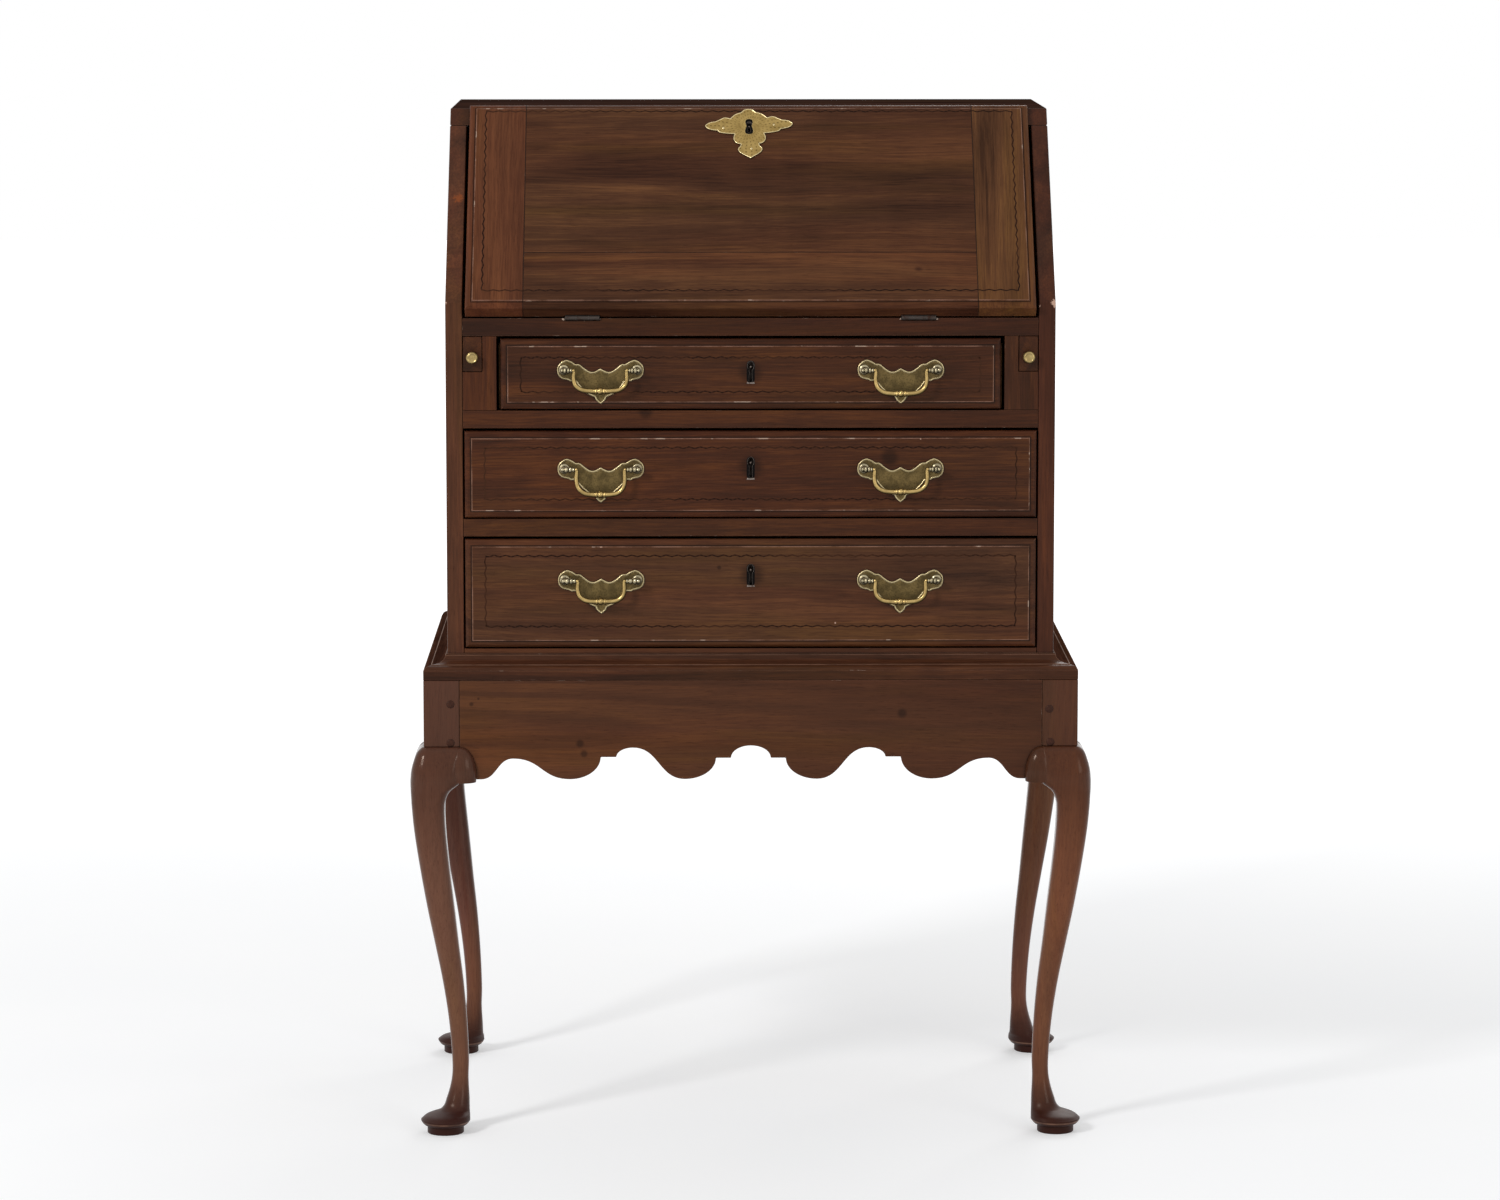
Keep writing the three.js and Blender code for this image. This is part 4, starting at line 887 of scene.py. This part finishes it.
def make_leg(part, front, right):
    rings = [foot_ring(z, diameter) for z, diameter in FOOT_SHOE]
    for k in range(9):
        rise = math.sin(k / 8 * QUARTER)
        rings.append(foot_ring(0.0082 + 0.0048 * rise**1.6, 0.041 + 0.00895 * rise))
    lowest = (0.0026, (FOOT_INSET - FOOT_RADIUS) / BLOCK, (FOOT_INSET + FOOT_RADIUS) / BLOCK, 0.5, 0.5, 0.5)
    for high, out, inn, *rounds in eased_rows([lowest] + LEG_SHARES, 6):
        rings.append(leg_ring(FOOT_RIM + high * (KNEE - FOOT_RIM), out * BLOCK, inn * BLOCK, *rounds))
    rings.append(leg_ring(KNEE + 0.002, 0.002, BLOCK - 0.002, *LEG_SHARES[-1][3:]))
    bm = bmesh.new()
    skin(bm, rings)
    block = box_mesh((0, 0, KNEE), (BLOCK, BLOCK, FRAME_TOP))
    soften(block, 0.0009, 3)
    scratch = bpy.data.meshes.new("scratch")
    block.to_mesh(scratch)
    block.free()
    bm.from_mesh(scratch)
    for swap in (False, True) if front else (True,):
        add_ear(bm, scratch, swap)
    bpy.data.meshes.remove(scratch)
    for vertex in bm.verts:
        x, y, z = vertex.co
        x = FRAME_HALF - x if right else x - FRAME_HALF
        y = FRAME_FRONT + y if front else -FRAME_FRONT - y
        vertex.co = (x, y, z)
    obj = even_normals(new_object(f"leg_{part}_fine", bm, sharp=38))
    place(obj, "root", "leg_walnut", leg_woods[part], f"leg_{part}")


def make_legs():
    for end in ("front", "rear"):
        for side in SIDES:
            make_leg(f"{end}_{side}", end == "front", side == "right")


# Aprons: how a half scroll gets there, then shares of the half length and of the height
FRONT_SCROLL = [
    ("start", 0, 0.662), ("arc", 0.068, 0.786), ("line", 0.12, 0.786), ("lobe", 0.227, 1),
    ("ogee", 0.405, 0.682), ("arc", 0.462, 0.776), ("line", 0.516, 0.776), ("lobe", 0.622, 1),
    ("ogee", 0.817, 0.791), ("ogee", 0.927, 1), ("line", 1, 1),
]
SIDE_SCROLL = [
    ("start", 0, 0.662), ("arc", 0.113, 0.786), ("line", 0.198, 0.786), ("lobe", 0.376, 1),
    ("ogee", 0.67, 0.682), ("ogee", 0.88, 1), ("line", 1, 1),
]
ROUND = 0.5523


def bezier(a, b, c, d, steps):
    points = []
    for k in range(1, steps + 1):
        t = k / steps
        w = ((1 - t) ** 3, 3 * t * (1 - t) ** 2, 3 * t * t * (1 - t), t**3)
        points.append(tuple(w[0] * p + w[1] * q + w[2] * r + w[3] * s for p, q, r, s in zip(a, b, c, d)))
    return points


def apron_outline(scroll, half):
    points = []
    x, z = 0, 0
    for kind, across, down in scroll:
        end = (across * half, FRAME_TOP - down * APRON)
        dx, dz = end[0] - x, end[1] - z
        if kind == "arc":
            points += bezier((x, z), (x + ROUND * dx, z), (end[0], end[1] - ROUND * dz), end, 16)
        elif kind == "lobe":
            points += bezier((x, z), (x, z + ROUND * dz), (end[0] - ROUND * dx, end[1]), end, 16)
        elif kind == "ogee":
            points += bezier((x, z), (x + 0.5 * dx, z), (end[0] - 0.5 * dx, end[1]), end, 20)
        else:
            points.append(end)
        x, z = end
    left = [(-a, b) for a, b in reversed(points[1:])]
    return [(-half, FRAME_TOP)] + left + points + [(half, FRAME_TOP)]


def make_aprons():
    for part in ("front", *SIDES):
        low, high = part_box(f"apron_{part}")
        across, out = Vector((1, 0, 0)), Vector((0, 1, 0))
        scroll, material = FRONT_SCROLL, apron_front_wood
        if part != "front":
            across, out = out, across
            scroll, material = SIDE_SCROLL, apron_side_wood
        to_desk = upright(across, out, out * low.dot(out))
        rings = slab(apron_outline(scroll, high.dot(across)), 0, (high - low).dot(out), to_desk)
        obj = even_normals(shape(f"apron_{part}_fine", rings, sharp=35, soft=(0.0008, 2, 0.9)))
        place(obj, "root", "walnut", material, f"apron_{part}")
    fine("rail_back", apron_front_wood, 0.001)


# The pegs that pin the aprons' tenons, seen as dark slightly proud ends
PEG = [(0.0041, -0.002), (0.0041, 0.0002), (0.0033, 0.0005), (0, 0.0005)]
FRONT_PEGS = [(-0.3014, 0.4424), (-0.3014, 0.4032), (0.2998, 0.4369), (0.301, 0.4032)]


def make_pegs():
    turns = [at(x, FRAME_FRONT, z, QUARTER) for x, z in FRONT_PEGS]
    for sign in (-1, 1):
        for y in (FRAME_FRONT + 0.0275, -FRAME_FRONT - 0.0275):
            turns += [at(sign * FRAME_HALF, y, z, sign * QUARTER, "Y") for z in (0.4405, 0.4035)]
    assemble("frame_pegs", [lathe("peg", PEG, turn, 9, end_wood) for turn in turns], "root", "leg_walnut")


# Mouldings, from the outer face inwards and from the bottom up
def moulding_section():
    points = [(0.0004, 0.0), (0.0, 0.0004), (0.0, 0.0096), (0.0007, 0.0099)]
    for k in range(1, 13):
        angle = k / 12 * QUARTER
        points.append((0.0007 + 0.0065 * (1 - math.cos(angle)), 0.0099 + 0.0042 * math.sin(angle)))
    points += [(0.0077, 0.0141), (0.0077, 0.0149), (0.0106, 0.0149)]
    for k in range(1, 17):
        angle = k / 16 * QUARTER
        points.append((0.0106 + 0.0107 * math.sin(angle), 0.0229 - 0.008 * math.cos(angle)))
    points += [(0.0221, 0.0229), (0.0221, 0.0242), (0.0234, 0.0242)]
    return points + [(0.0234, 0.012), (0.04, 0.012), (0.04, 0.0)]


def make_mouldings():
    section = moulding_section()
    for part, signs in (("front", (-1, 1)), ("left", (-1,)), ("right", (1,))):
        low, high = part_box(f"moulding_{part}")
        outer = max(abs(low.x), abs(high.x))
        ends = [[(sign * (outer - inn), low.y + inn, low.z + up) for inn, up in section] for sign in signs]
        if part != "front":
            ends.append([(x, high.y, z) for x, _, z in ends[0]])
        material = moulding_woods["front" if part == "front" else "side"]
        place(shape(f"moulding_{part}_fine", ends, sharp=30), "root", "walnut", material, f"moulding_{part}")


# Case
NAIL = [(0.0028, 0.0), (0.0028, 0.0002), (0.002, 0.0005), (0, 0.0006)]


def make_case():
    for side in SIDES:
        fine(f"case_side_{side}", side_woods[side], 0.0011)
    top = fine("top_board", top_wood, 0.0012)
    top.data.materials.append(side_woods["right"])
    for polygon in top.data.polygons:
        polygon.material_index = 0 if polygon.normal.z > 0.97 else 1
    fine("bottom_board", apron_front_wood)
    fine("writing_bed", bed_wood, 0.0007)
    fine("blade_lower", rail_wood)
    fine("blade_upper", rail_wood)
    for side in SIDES:
        fine(f"loper_housing_{side}", stile_wood)
        fine(f"loper_{side}", loper_wood, 0.0009)
    fine("pigeonhole_gallery", inside_wood, 0.0009)
    low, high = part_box("back_board")
    tall = (high.z - low.z) / len(back_woods)
    gap = 0.0004
    nails = []
    for i, material in enumerate(back_woods):
        corner = (low.x, low.y, low.z + i * tall + gap)
        far = (high.x, high.y - 0.0004, low.z + (i + 1) * tall - gap)
        bm = box_mesh(corner, far)
        soften(bm, 0.0012)
        obj = even_normals(new_object(f"back_board_{i + 1}", bm))
        place(obj, "root", "drawer_wood", material, "back_board")
        for x in (low.x + 0.012, 0.0, high.x - 0.012):
            for z in (corner[2] + 0.022, far[2] - 0.022):
                nails.append(lathe("nail", NAIL, at(x, high.y - 0.0006, z, -QUARTER), 8, old_iron))
    assemble("back_nails", nails, "root", "iron")


KNOB = [
    (0, 0), (0.36, 0), (0.37, 0.06), (0.35, 0.11), (0.25, 0.19), (0.23, 0.3), (0.25, 0.42), (0.36, 0.48),
    (0.46, 0.55), (0.495, 0.62), (0.5, 0.68), (0.47, 0.78), (0.42, 0.85), (0.4, 0.86), (0.38, 0.9),
    (0.3, 0.945), (0.16, 0.985), (0, 1),
]
DISHED = KNOB[:11] + [
    (0.497, 0.76), (0.46, 0.86), (0.4, 0.93), (0.35, 0.95), (0.31, 0.93), (0.2, 0.905), (0, 0.9),
]


def knob(name, diameter, reach, spot, shares, segments, sharp=None):
    profile = [(r * diameter, a * reach) for r, a in shares]
    return lathe(name, profile, at(*spot, QUARTER), segments, knob_brass, sharp)


def make_loper_knobs():
    for side in SIDES:
        low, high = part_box(f"loper_knob_{side}")
        spot = ((low.x + high.x) / 2, high.y, (low.z + high.z) / 2)
        obj = knob(f"loper_knob_{side}_fine", 0.0127, 0.012, spot, DISHED, 16, 20)
        place(obj, f"support_{side}", "bright_brass", knob_brass, f"loper_knob_{side}")


# Keyholes
KEYHOLE = [(0.28, -0.5), (0.22, 0.05), (0.42, 0.16), (0.5, 0.3), (0.36, 0.44), (0.12, 0.5)]
WORN_KEYHOLE = [
    (0.2, -0.5), (0.42, -0.43), (0.5, -0.28), (0.42, -0.1), (0.33, 0.04), (0.4, 0.16), (0.45, 0.3),
    (0.36, 0.44), (0.12, 0.5),
]
LINING_FOOT = [
    (-0.0041, -0.0119), (0.0041, -0.0119), (0.0036, -0.0098), (0.0016, -0.0106), (-0.0016, -0.0106),
    (-0.0036, -0.0098),
]
LOCK_PIN = [(0.0013, -0.001), (0.0013, 0.0082), (0.001, 0.0088), (0, 0.009)]


def keyhole(width, height, shares=KEYHOLE):
    points = [(x * width, z * height) for x, z in spline(shares, 4)]
    return points + [(-x, z) for x, z in reversed(points)]


def oval(width, height, steps=10):
    """A slot with round ends."""
    points = []
    half = width / 2
    for sign in (1, -1):
        for k in range(steps + 1):
            angle = math.pi * k / steps
            rise = height / 2 - half + half * math.sin(angle)
            points.append((sign * half * math.cos(angle), sign * rise))
    return points


def make_lining(name, width, height, to_desk, body, wide, tall=0.0006, proud=0.0003, foot_piece=True):
    """A thin metal rim round a keyhole that goes down into the wood, with the lock's pin behind it."""
    inner = keyhole(width, height)
    low = [(x * 0.86, z * 0.95) for x, z in inner]
    rings = [raised(*ring, to_desk) for ring in ((inner, 0.00025), (low, 0.0002), (low, -0.007))]
    parts = [shape("rim", rings, lining, caps=False)]
    # Painted shade: a thin dark sheet on the face round the keyhole
    plate = shape("plate", slab(oval(wide, height + tall), -0.0004, proud, to_desk), soft=(0.0002, 1))
    hole = shape("hole", slab(inner, -0.01, 0.01, to_desk))
    parts.append(painted(cut(plate, hole), painted_hollow_shade))
    if foot_piece:
        foot = slab(LINING_FOOT, -0.0003, 0.0006, to_desk)
        parts.append(shape("foot", foot, worn_iron, soft=(0.00025, 1)))
    parts.append(lathe("pin", LOCK_PIN, to_desk @ at(0, height * 0.22, -0.0115), 12, worn_iron))
    assemble(name, parts, body, "iron")


# Stringing: thin wavy inlaid lines
LINE_WIDTH = 0.0013
LINE_STEP = 0.0012
WAVE_LENGTH = 0.0115
WAVE_HEIGHT = 0.0008


def stringing(name, half_width, low, high, to_desk, body, material):
    bm = bmesh.new()
    corners = [(-half_width, low), (half_width, low), (half_width, high), (-half_width, high)]
    for (xa, za), (xb, zb) in zip(corners, corners[1:] + corners[:1]):
        length = math.hypot(xb - xa, zb - za)
        ux, uz = (xb - xa) / length, (zb - za) / length
        count = int(length / LINE_STEP)
        rows = []
        for k in range(count + 1):
            along = length * k / count
            wave = WAVE_HEIGHT * (4 * abs((along / WAVE_LENGTH) % 1 - 0.5) - 1)
            rows.append([to_desk @ Vector((xa + ux * along - uz * off, za + uz * along + ux * off, 0.00006))
                         for off in (wave - 0.5 * LINE_WIDTH, wave + 0.5 * LINE_WIDTH)])
        skin(bm, rows, closed=False, caps=False)
    place(new_object(name, bm, flat=True), body, "walnut", material)


# Fall
ESCUTCHEON = [
    [(0, 0)],
    [(0.045, -0.016), (0.085, -0.07)],
    [(0.145, -0.1), (0.185, -0.145), (0.21, -0.187)],
    [(0.275, -0.165), (0.335, -0.205), (0.38, -0.238)],
    [(0.445, -0.256), (0.49, -0.295), (0.5, -0.335), (0.468, -0.385), (0.415, -0.413), (0.362, -0.425)],
    [(0.335, -0.465), (0.255, -0.491), (0.168, -0.502)],
    [(0.182, -0.555), (0.184, -0.61), (0.17, -0.66), (0.14, -0.698), (0.105, -0.71)],
    [(0.112, -0.75), (0.138, -0.8), (0.13, -0.86), (0.09, -0.915), (0.04, -0.96), (0, -1)],
]
PLATE_BEAD = [
    (0.0, 0.0), (0.0, 0.0011), (0.0003, 0.0017), (0.0008, 0.0019), (0.0013, 0.0016), (0.0015, 0.0009),
]
SHIELD_BEAD = [(0.0, 0.0), (0.0, 0.0009), (0.0003, 0.0013), (0.0006, 0.0013), (0.0009, 0.0009)]
SHIELD_PIN = [(0.0014, 0), (0.0014, 0.0003), (0.0011, 0.0007), (0.0006, 0.0009), (0, 0.001)]
BOARD_JOINT = 0.068


def rimmed_plate(name, outline, thick, bead, to_desk, field, edge):
    """A flat plate with a cast bead along its rim, from insets and heights, the bead in its own material."""
    area = sum(a[0] * b[1] - b[0] * a[1] for a, b in zip(outline[-1:] + outline, outline))
    rings = []
    for i, (a, b) in enumerate(outline):
        along = (Vector(outline[(i + 1) % len(outline)]) - Vector(outline[i - 1])).normalized()
        turn = -1 if area < 0 else 1
        ring = [(a - turn * along.y * inset, b + turn * along.x * inset, high) for inset, high in bead]
        rings.append([to_desk @ Vector(point) for point in ring])
    flat = shape(name, slab(outline, 0, thick, to_desk), field, 28)
    return [flat, shape(name + "_rim", rings + rings[:1], edge, 60, merge=1e-6, caps=False)]


def make_fall():
    for part, material, sign in (("upper", fall_upper, -1), ("lower", fall_lower, 1)):
        bm = node_mesh("fall_panel")
        beyond = FALL_TO_DESK.to_3x3() @ Vector((0, sign, 0))
        slice_off(bm, FALL_TO_DESK @ Vector((0, BOARD_JOINT, 0)), beyond)
        bmesh.ops.recalc_face_normals(bm, faces=bm.faces)
        soften(bm, 0.0002)
        place(even_normals(new_object(f"fall_panel_{part}", bm)), "fall", "walnut", material, "fall_panel")
    for side in SIDES:
        fine(f"fall_cleat_{side}", cleat_woods[side], 0.0002)
    face = FALL_TO_DESK @ at(0, 0, FALL_FACE)
    stringing("fall_stringing", 0.268, 0.0205, 0.2475, face, "fall", inlay_slope)

    # The plate leans a little about the keyhole
    lean = Matrix.Rotation(0.034, 4, "Z")
    seat = FALL_TO_DESK @ at(0, FALL_LENGTH_TO_PLATE, FALL_FACE + 0.0001) @ lean @ at(0, 0.0229, 0)
    outline = mirrored_runs(ESCUTCHEON, 0.089, 0.0636)
    parts = rimmed_plate("fall_escutcheon_fine", outline, 0.001, SHIELD_BEAD, seat, shield_brass, shield_rim)
    middle = FALL_TO_DESK @ at(0, 0.22697, 0)
    cut(parts[0], shape("hole", slab(keyhole(0.0084, 0.0196, WORN_KEYHOLE), 0.012, 0.03, middle)))
    parts[0].data.set_sharp_from_angle(angle=math.radians(28))
    assemble("fall_escutcheon_fine", parts, "fall", "brass", "fall_escutcheon")
    on_plate = FALL_TO_DESK @ at(0, FALL_LENGTH_TO_PLATE, FALL_FACE + 0.001) @ lean
    pins = [lathe("pin", SHIELD_PIN, on_plate @ at(x, s, 0), 16, shield_rim)
            for x, s in ((-0.0262, -0.0012), (0.0252, 0.0012), (0.0012, -0.0288))]
    assemble("escutcheon_pins", pins, "fall", "brass")
    face = middle @ at(0, 0, FALL_FACE)
    make_lining("fall_keyhole_lining", 0.006, 0.014, face, "fall", 0.0096, 0.0065, 0.00008, False)
    fine("fall_lock", old_iron, 0.0004, "iron")
    for side in SIDES:
        fine(f"fall_hinge_leaf_{side}", old_iron, 0.0002, "iron")
        fine(f"bed_hinge_leaf_{side}", old_iron, 0.0002, "iron")


SCREW = [(0.0024, -0.001), (0.0024, 0.0), (0.0021, 0.00012), (0, 0.00015)]
SCREW_SPOTS = ((-0.011, 0.0165), (0.0, 0.012), (0.011, 0.0165))


def screw(at_matrix):
    """A countersunk head whose face looks along Z, with a dark strip of painted shade laid on it for its slot."""
    bm = box_mesh((-0.002, -0.0003, 0.0001), (0.002, 0.0003, 0.0002))
    bmesh.ops.transform(bm, matrix=at_matrix, verts=bm.verts)
    return [lathe("screw", SCREW, at_matrix, 20, old_iron), new_object("slot", bm, painted_hollow_shade, flat=True)]


def make_screws():
    _, y, z = PIVOT["fall"]
    for side in SIDES:
        middle = sum(corner.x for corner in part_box(f"fall_hinge_leaf_{side}")) / 2
        on_fall = []
        on_bed = []
        for dx, reach in SCREW_SPOTS:
            turn = Matrix.Rotation(dx * 90, 4, "Z")
            on_fall += screw(FALL_TO_DESK @ at(middle + dx, reach, 0.0005, math.pi) @ turn)
            on_bed += screw(at(middle + dx, y + reach, z - 0.0005, 0.4 + dx * 120, "Z"))
        assemble(f"fall_hinge_screws_{side}", on_fall, "fall", "iron")
        assemble(f"bed_hinge_screws_{side}", on_bed, "root", "iron")


# Handles
PLATE = [
    [(0, 0.031)],
    [(0.048, -0.022), (0.09, -0.047), (0.133, -0.029), (0.186, 0.04), (0.228, 0.108), (0.256, 0.133)],
    [(0.275, 0.128), (0.293, 0.135)],
    [(0.331, 0.184), (0.372, 0.216), (0.397, 0.2225), (0.441, 0.184), (0.484, 0.101), (0.4966, 0.0045),
     (0.486, -0.112), (0.4506, -0.1865), (0.408, -0.2135), (0.37, -0.229)],
    [(0.345, -0.258), (0.29, -0.262), (0.25, -0.36), (0.204, -0.455), (0.152, -0.538), (0.095, -0.59),
     (0.067, -0.6135)],
    [(0.054, -0.674), (0.028, -0.728), (0, -0.766)],
]
STEM = [
    (0.0052, 0.0014), (0.0052, 0.0019), (0.0044, 0.0024), (0.0028, 0.0032), (0.0023, 0.0055),
    (0.0024, 0.0095), (0.0026, 0.012),
]
HEAD = [
    (0, 0.72), (0.49, 0.72), (0.49, 0), (0.62, 0), (0.72, 0.03), (0.72, 0.09), (0.56, 0.13), (0.54, 0.16),
    (0.78, 0.2), (0.92, 0.27), (0.88, 0.35), (0.62, 0.4), (0.56, 0.43), (0.86, 0.47), (1, 0.55), (0.96, 0.64),
    (0.66, 0.7), (0.52, 0.73), (0.6, 0.78), (0.72, 0.85), (0.6, 0.92), (0.3, 0.98), (0, 1),
]
HEAD_END = 0.0402
# Half the width and the drop of each hand-made bail
BAIL_SIZES = {
    "top_left": (0.0272, 0.0205), "top_right": (0.0262, 0.0232), "middle_left": (0.0248, 0.025),
    "middle_right": (0.0272, 0.0225), "bottom_left": (0.024, 0.0205), "bottom_right": (0.026, 0.0212),
}
BAIL = [
    (0.965, 0), (0.965, -0.05), (0.965, -0.16), (0.972, -0.42), (0.9, -0.73), (0.67, -0.94), (0.33, -1),
    (0, -1),
]
COLLAR = [
    (0.0012, 0), (0.0019, 0.0004), (0.0021, 0.0014), (0.0019, 0.0024), (0.0014, 0.0029), (0.0014, 0.0108),
    (0, 0.0108),
]
HALF_KNOP = [
    (1.0, 0.06), (0.84, 0.14), (0.62, 0.19), (0.82, 0.23), (0.9, 0.29), (0.86, 0.34), (0.62, 0.39),
    (0.72, 0.42), (0.72, 0.46), (0.6, 0.5), (0, 0.5),
]
KNOP = [(r, -a) for r, a in reversed(HALF_KNOP)] + HALF_KNOP


def bow(half, drop, pivot):
    """The bent rod of a bail, thickest in the middle."""
    right = [(x * half, z * drop) for x, z in BAIL]
    path = spline(right + [(-x, z) for x, z in reversed(right[:-1])], 6)
    last = len(path) - 1
    rings = []
    for i, (x, z) in enumerate(path):
        ahead = path[min(i + 1, last)]
        behind = path[max(i - 1, 0)]
        direction = Vector((ahead[0] - behind[0], 0, ahead[1] - behind[1])).normalized()
        across = Vector((-direction.z, 0, direction.x))
        radius = 0.0017 + 0.0009 * (1 - abs(2 * i / last - 1)) ** 0.7
        middle = pivot + Vector((x, 0, z))
        rings.append([middle + (across * c + Vector((0, 1, 0)) * s) * radius for c, s in circle(20)])
    return shape("bow", rings, bail_brass)


def make_handle(size, side):
    name = f"{size}_{side}"
    pivot = PIVOT[name + "_bail"]
    face = DRAWER_FACE - 0.0001
    seat = upright((1, 0, 0), (0, -1, 0), (pivot.x, face, pivot.z))
    outline = mirrored_runs(PLATE, 0.087, 0.0445)
    parts = rimmed_plate("plate", outline, 0.0012, PLATE_BEAD, seat, plate_brass, rim_brass)
    half, drop = BAIL_SIZES[name]
    arm = half * BAIL[0][0]
    head_start = arm + 0.0022
    head = [(r * 0.0035, a * (HEAD_END - head_start)) for r, a in HEAD]
    for sign in (-1, 1):
        parts.append(lathe("stem", STEM, at(pivot.x + sign * 0.0365, face, pivot.z, QUARTER), 24, post_brass))
        turn = at(pivot.x + sign * head_start, pivot.y, pivot.z, sign * QUARTER, "Y")
        parts.append(lathe("head", head, turn, 28, post_brass, 60))
    assemble(f"plate_{name}_fine", parts, f"{size}_drawer", "brass", f"plate_{name}")

    parts = [bow(half, drop, pivot)]
    for sign in (-1, 1):
        turn = at(pivot.x + sign * (arm - 0.0011), pivot.y, pivot.z, sign * QUARTER, "Y")
        parts.append(lathe("collar", COLLAR, turn, 20, bail_brass))
    turn = at(pivot.x, pivot.y, pivot.z - drop, QUARTER, "Y")
    parts.append(lathe("knop", [(r * 0.0036, a * 0.014) for r, a in KNOP], turn, 28, bail_brass))
    assemble(f"bail_{name}_fine", parts, name + "_bail", "bright_brass", f"bail_{name}")


# Long drawers
def make_dovetails(size):
    """Tails of the drawer's sides, seen in the ends of its front."""
    low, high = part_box(f"drawer_{size}_front")
    count = 4 if size == "bottom" else 3
    pitch = (high.z - low.z - 0.012) / count
    bm = bmesh.new()
    for sign in (-1, 1):
        end = upright((0, 1, 0), (sign, 0, 0), (sign * high.x, high.y, 0))
        for i in range(count):
            middle = low.z + 0.005 + (i + 0.5) * pitch
            shares = ((0, -0.3), (-0.0125, -0.4), (-0.0125, 0.4), (0, 0.3))
            outline = [(reach, middle + share * pitch) for reach, share in shares]
            skin(bm, slab(outline, -0.0003, 0.00006, end))
    place(new_object(f"drawer_{size}_dovetails", bm, flat=True), f"{size}_drawer", "drawer_wood", box_wood)


def make_drawers():
    face = upright((1, 0, 0), (0, -1, 0), (0, DRAWER_FACE, 0))
    # Each drawer's margins of the inlay, below and above, and the height of its keyhole
    for size, down, up, z in (
        ("top", 0.0175, 0.0185, 0.775), ("middle", 0.0185, 0.0165, 0.6786),
        ("bottom", 0.0215, 0.0165, 0.5705),
    ):
        body = f"{size}_drawer"
        fine(f"drawer_{size}_front", drawer_woods[size], 0.0002)
        fine(f"drawer_{size}_box", box_wood, 0.0008, "drawer_wood")
        fine(f"drawer_{size}_lock", old_iron, 0.0004, "iron")
        low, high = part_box(f"drawer_{size}_front")
        name = f"drawer_{size}_stringing"
        stringing(name, high.x - 0.0205, low.z + down, high.z - up, face, body, inlay_dark)
        make_lining(f"drawer_{size}_keyhole_lining", 0.007, 0.022, face @ at(0, z, 0), body, 0.008)
        make_dovetails(size)
        for side in SIDES:
            make_handle(size, side)


# Small drawers behind the fall
BEAD = 0.0014
BEAD_INSET = 0.0022


def beads(low, high, front):
    """Half-round beads round the front of a small drawer, mitred at the corners."""
    left, right = low.x + BEAD_INSET, high.x - BEAD_INSET
    bottom, top = low.z + BEAD_INSET, high.z - BEAD_INSET
    ring = [(left, bottom), (right, bottom), (right, top), (left, top)]
    parts = []
    for (xa, za), (xb, zb) in zip(ring, ring[1:] + ring[:1]):
        direction = Vector((xb - xa, 0, zb - za)).normalized()
        across = Vector((-direction.z, 0, direction.x))
        rows = []
        for x, z, sign in ((xa, za, 1), (xb, zb, -1)):
            mitre = across + direction * sign
            rows.append([Vector((x, front - BEAD * s, z)) + mitre * (BEAD * c) for c, s in circle(16)[:9]])
        parts.append(shape("bead", rows, inside_wood))
    return parts


def make_small_drawers():
    for i in range(1, 5):
        low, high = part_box(f"small_drawer_{i}")
        front = low.y + 0.0119
        shell = new_object("shell", box_mesh((low.x, front, low.z), (high.x, high.y, high.z)))
        near = (low.x + 0.005, front + 0.01, low.z + 0.004)
        far = (high.x - 0.005, high.y - 0.005, high.z + 0.01)
        cut(shell, new_object("hole", box_mesh(near, far)))
        bm = bmesh.new()
        bm.from_mesh(shell.data)
        bpy.data.objects.remove(shell)
        soften(bm, 0.0008)
        spot = ((low.x + high.x) / 2, front, (low.z + high.z) / 2)
        parts = [new_object("shell", bm, inside_wood), *beads(low, high, front)]
        parts.append(knob("pull", 0.012, 0.012, spot, KNOB, 40))
        obj = even_normals(joined(f"small_drawer_{i}_fine", parts))
        place(obj, f"inner_drawer_{i}", "walnut", None, f"small_drawer_{i}")


make_camera()
make_stage()
lamp("key", (-2.9, -3.2, 2.9), (0, 0, 0.6), (0.8, 0.85), 92)
lamp("fill", (3.0, -3.8, 1.7), (0, 0, 0.55), (1.8, 1.8), 25)
lamp("behind", (1.2, 3.0, 2.6), (0, 0, 0.6), (2.2, 2.0), 40)
make_legs()
make_aprons()
make_pegs()
make_mouldings()
make_case()
make_loper_knobs()
make_fall()
make_screws()
make_drawers()
make_small_drawers()

bpy.context.scene.view_settings.view_transform = "Standard"
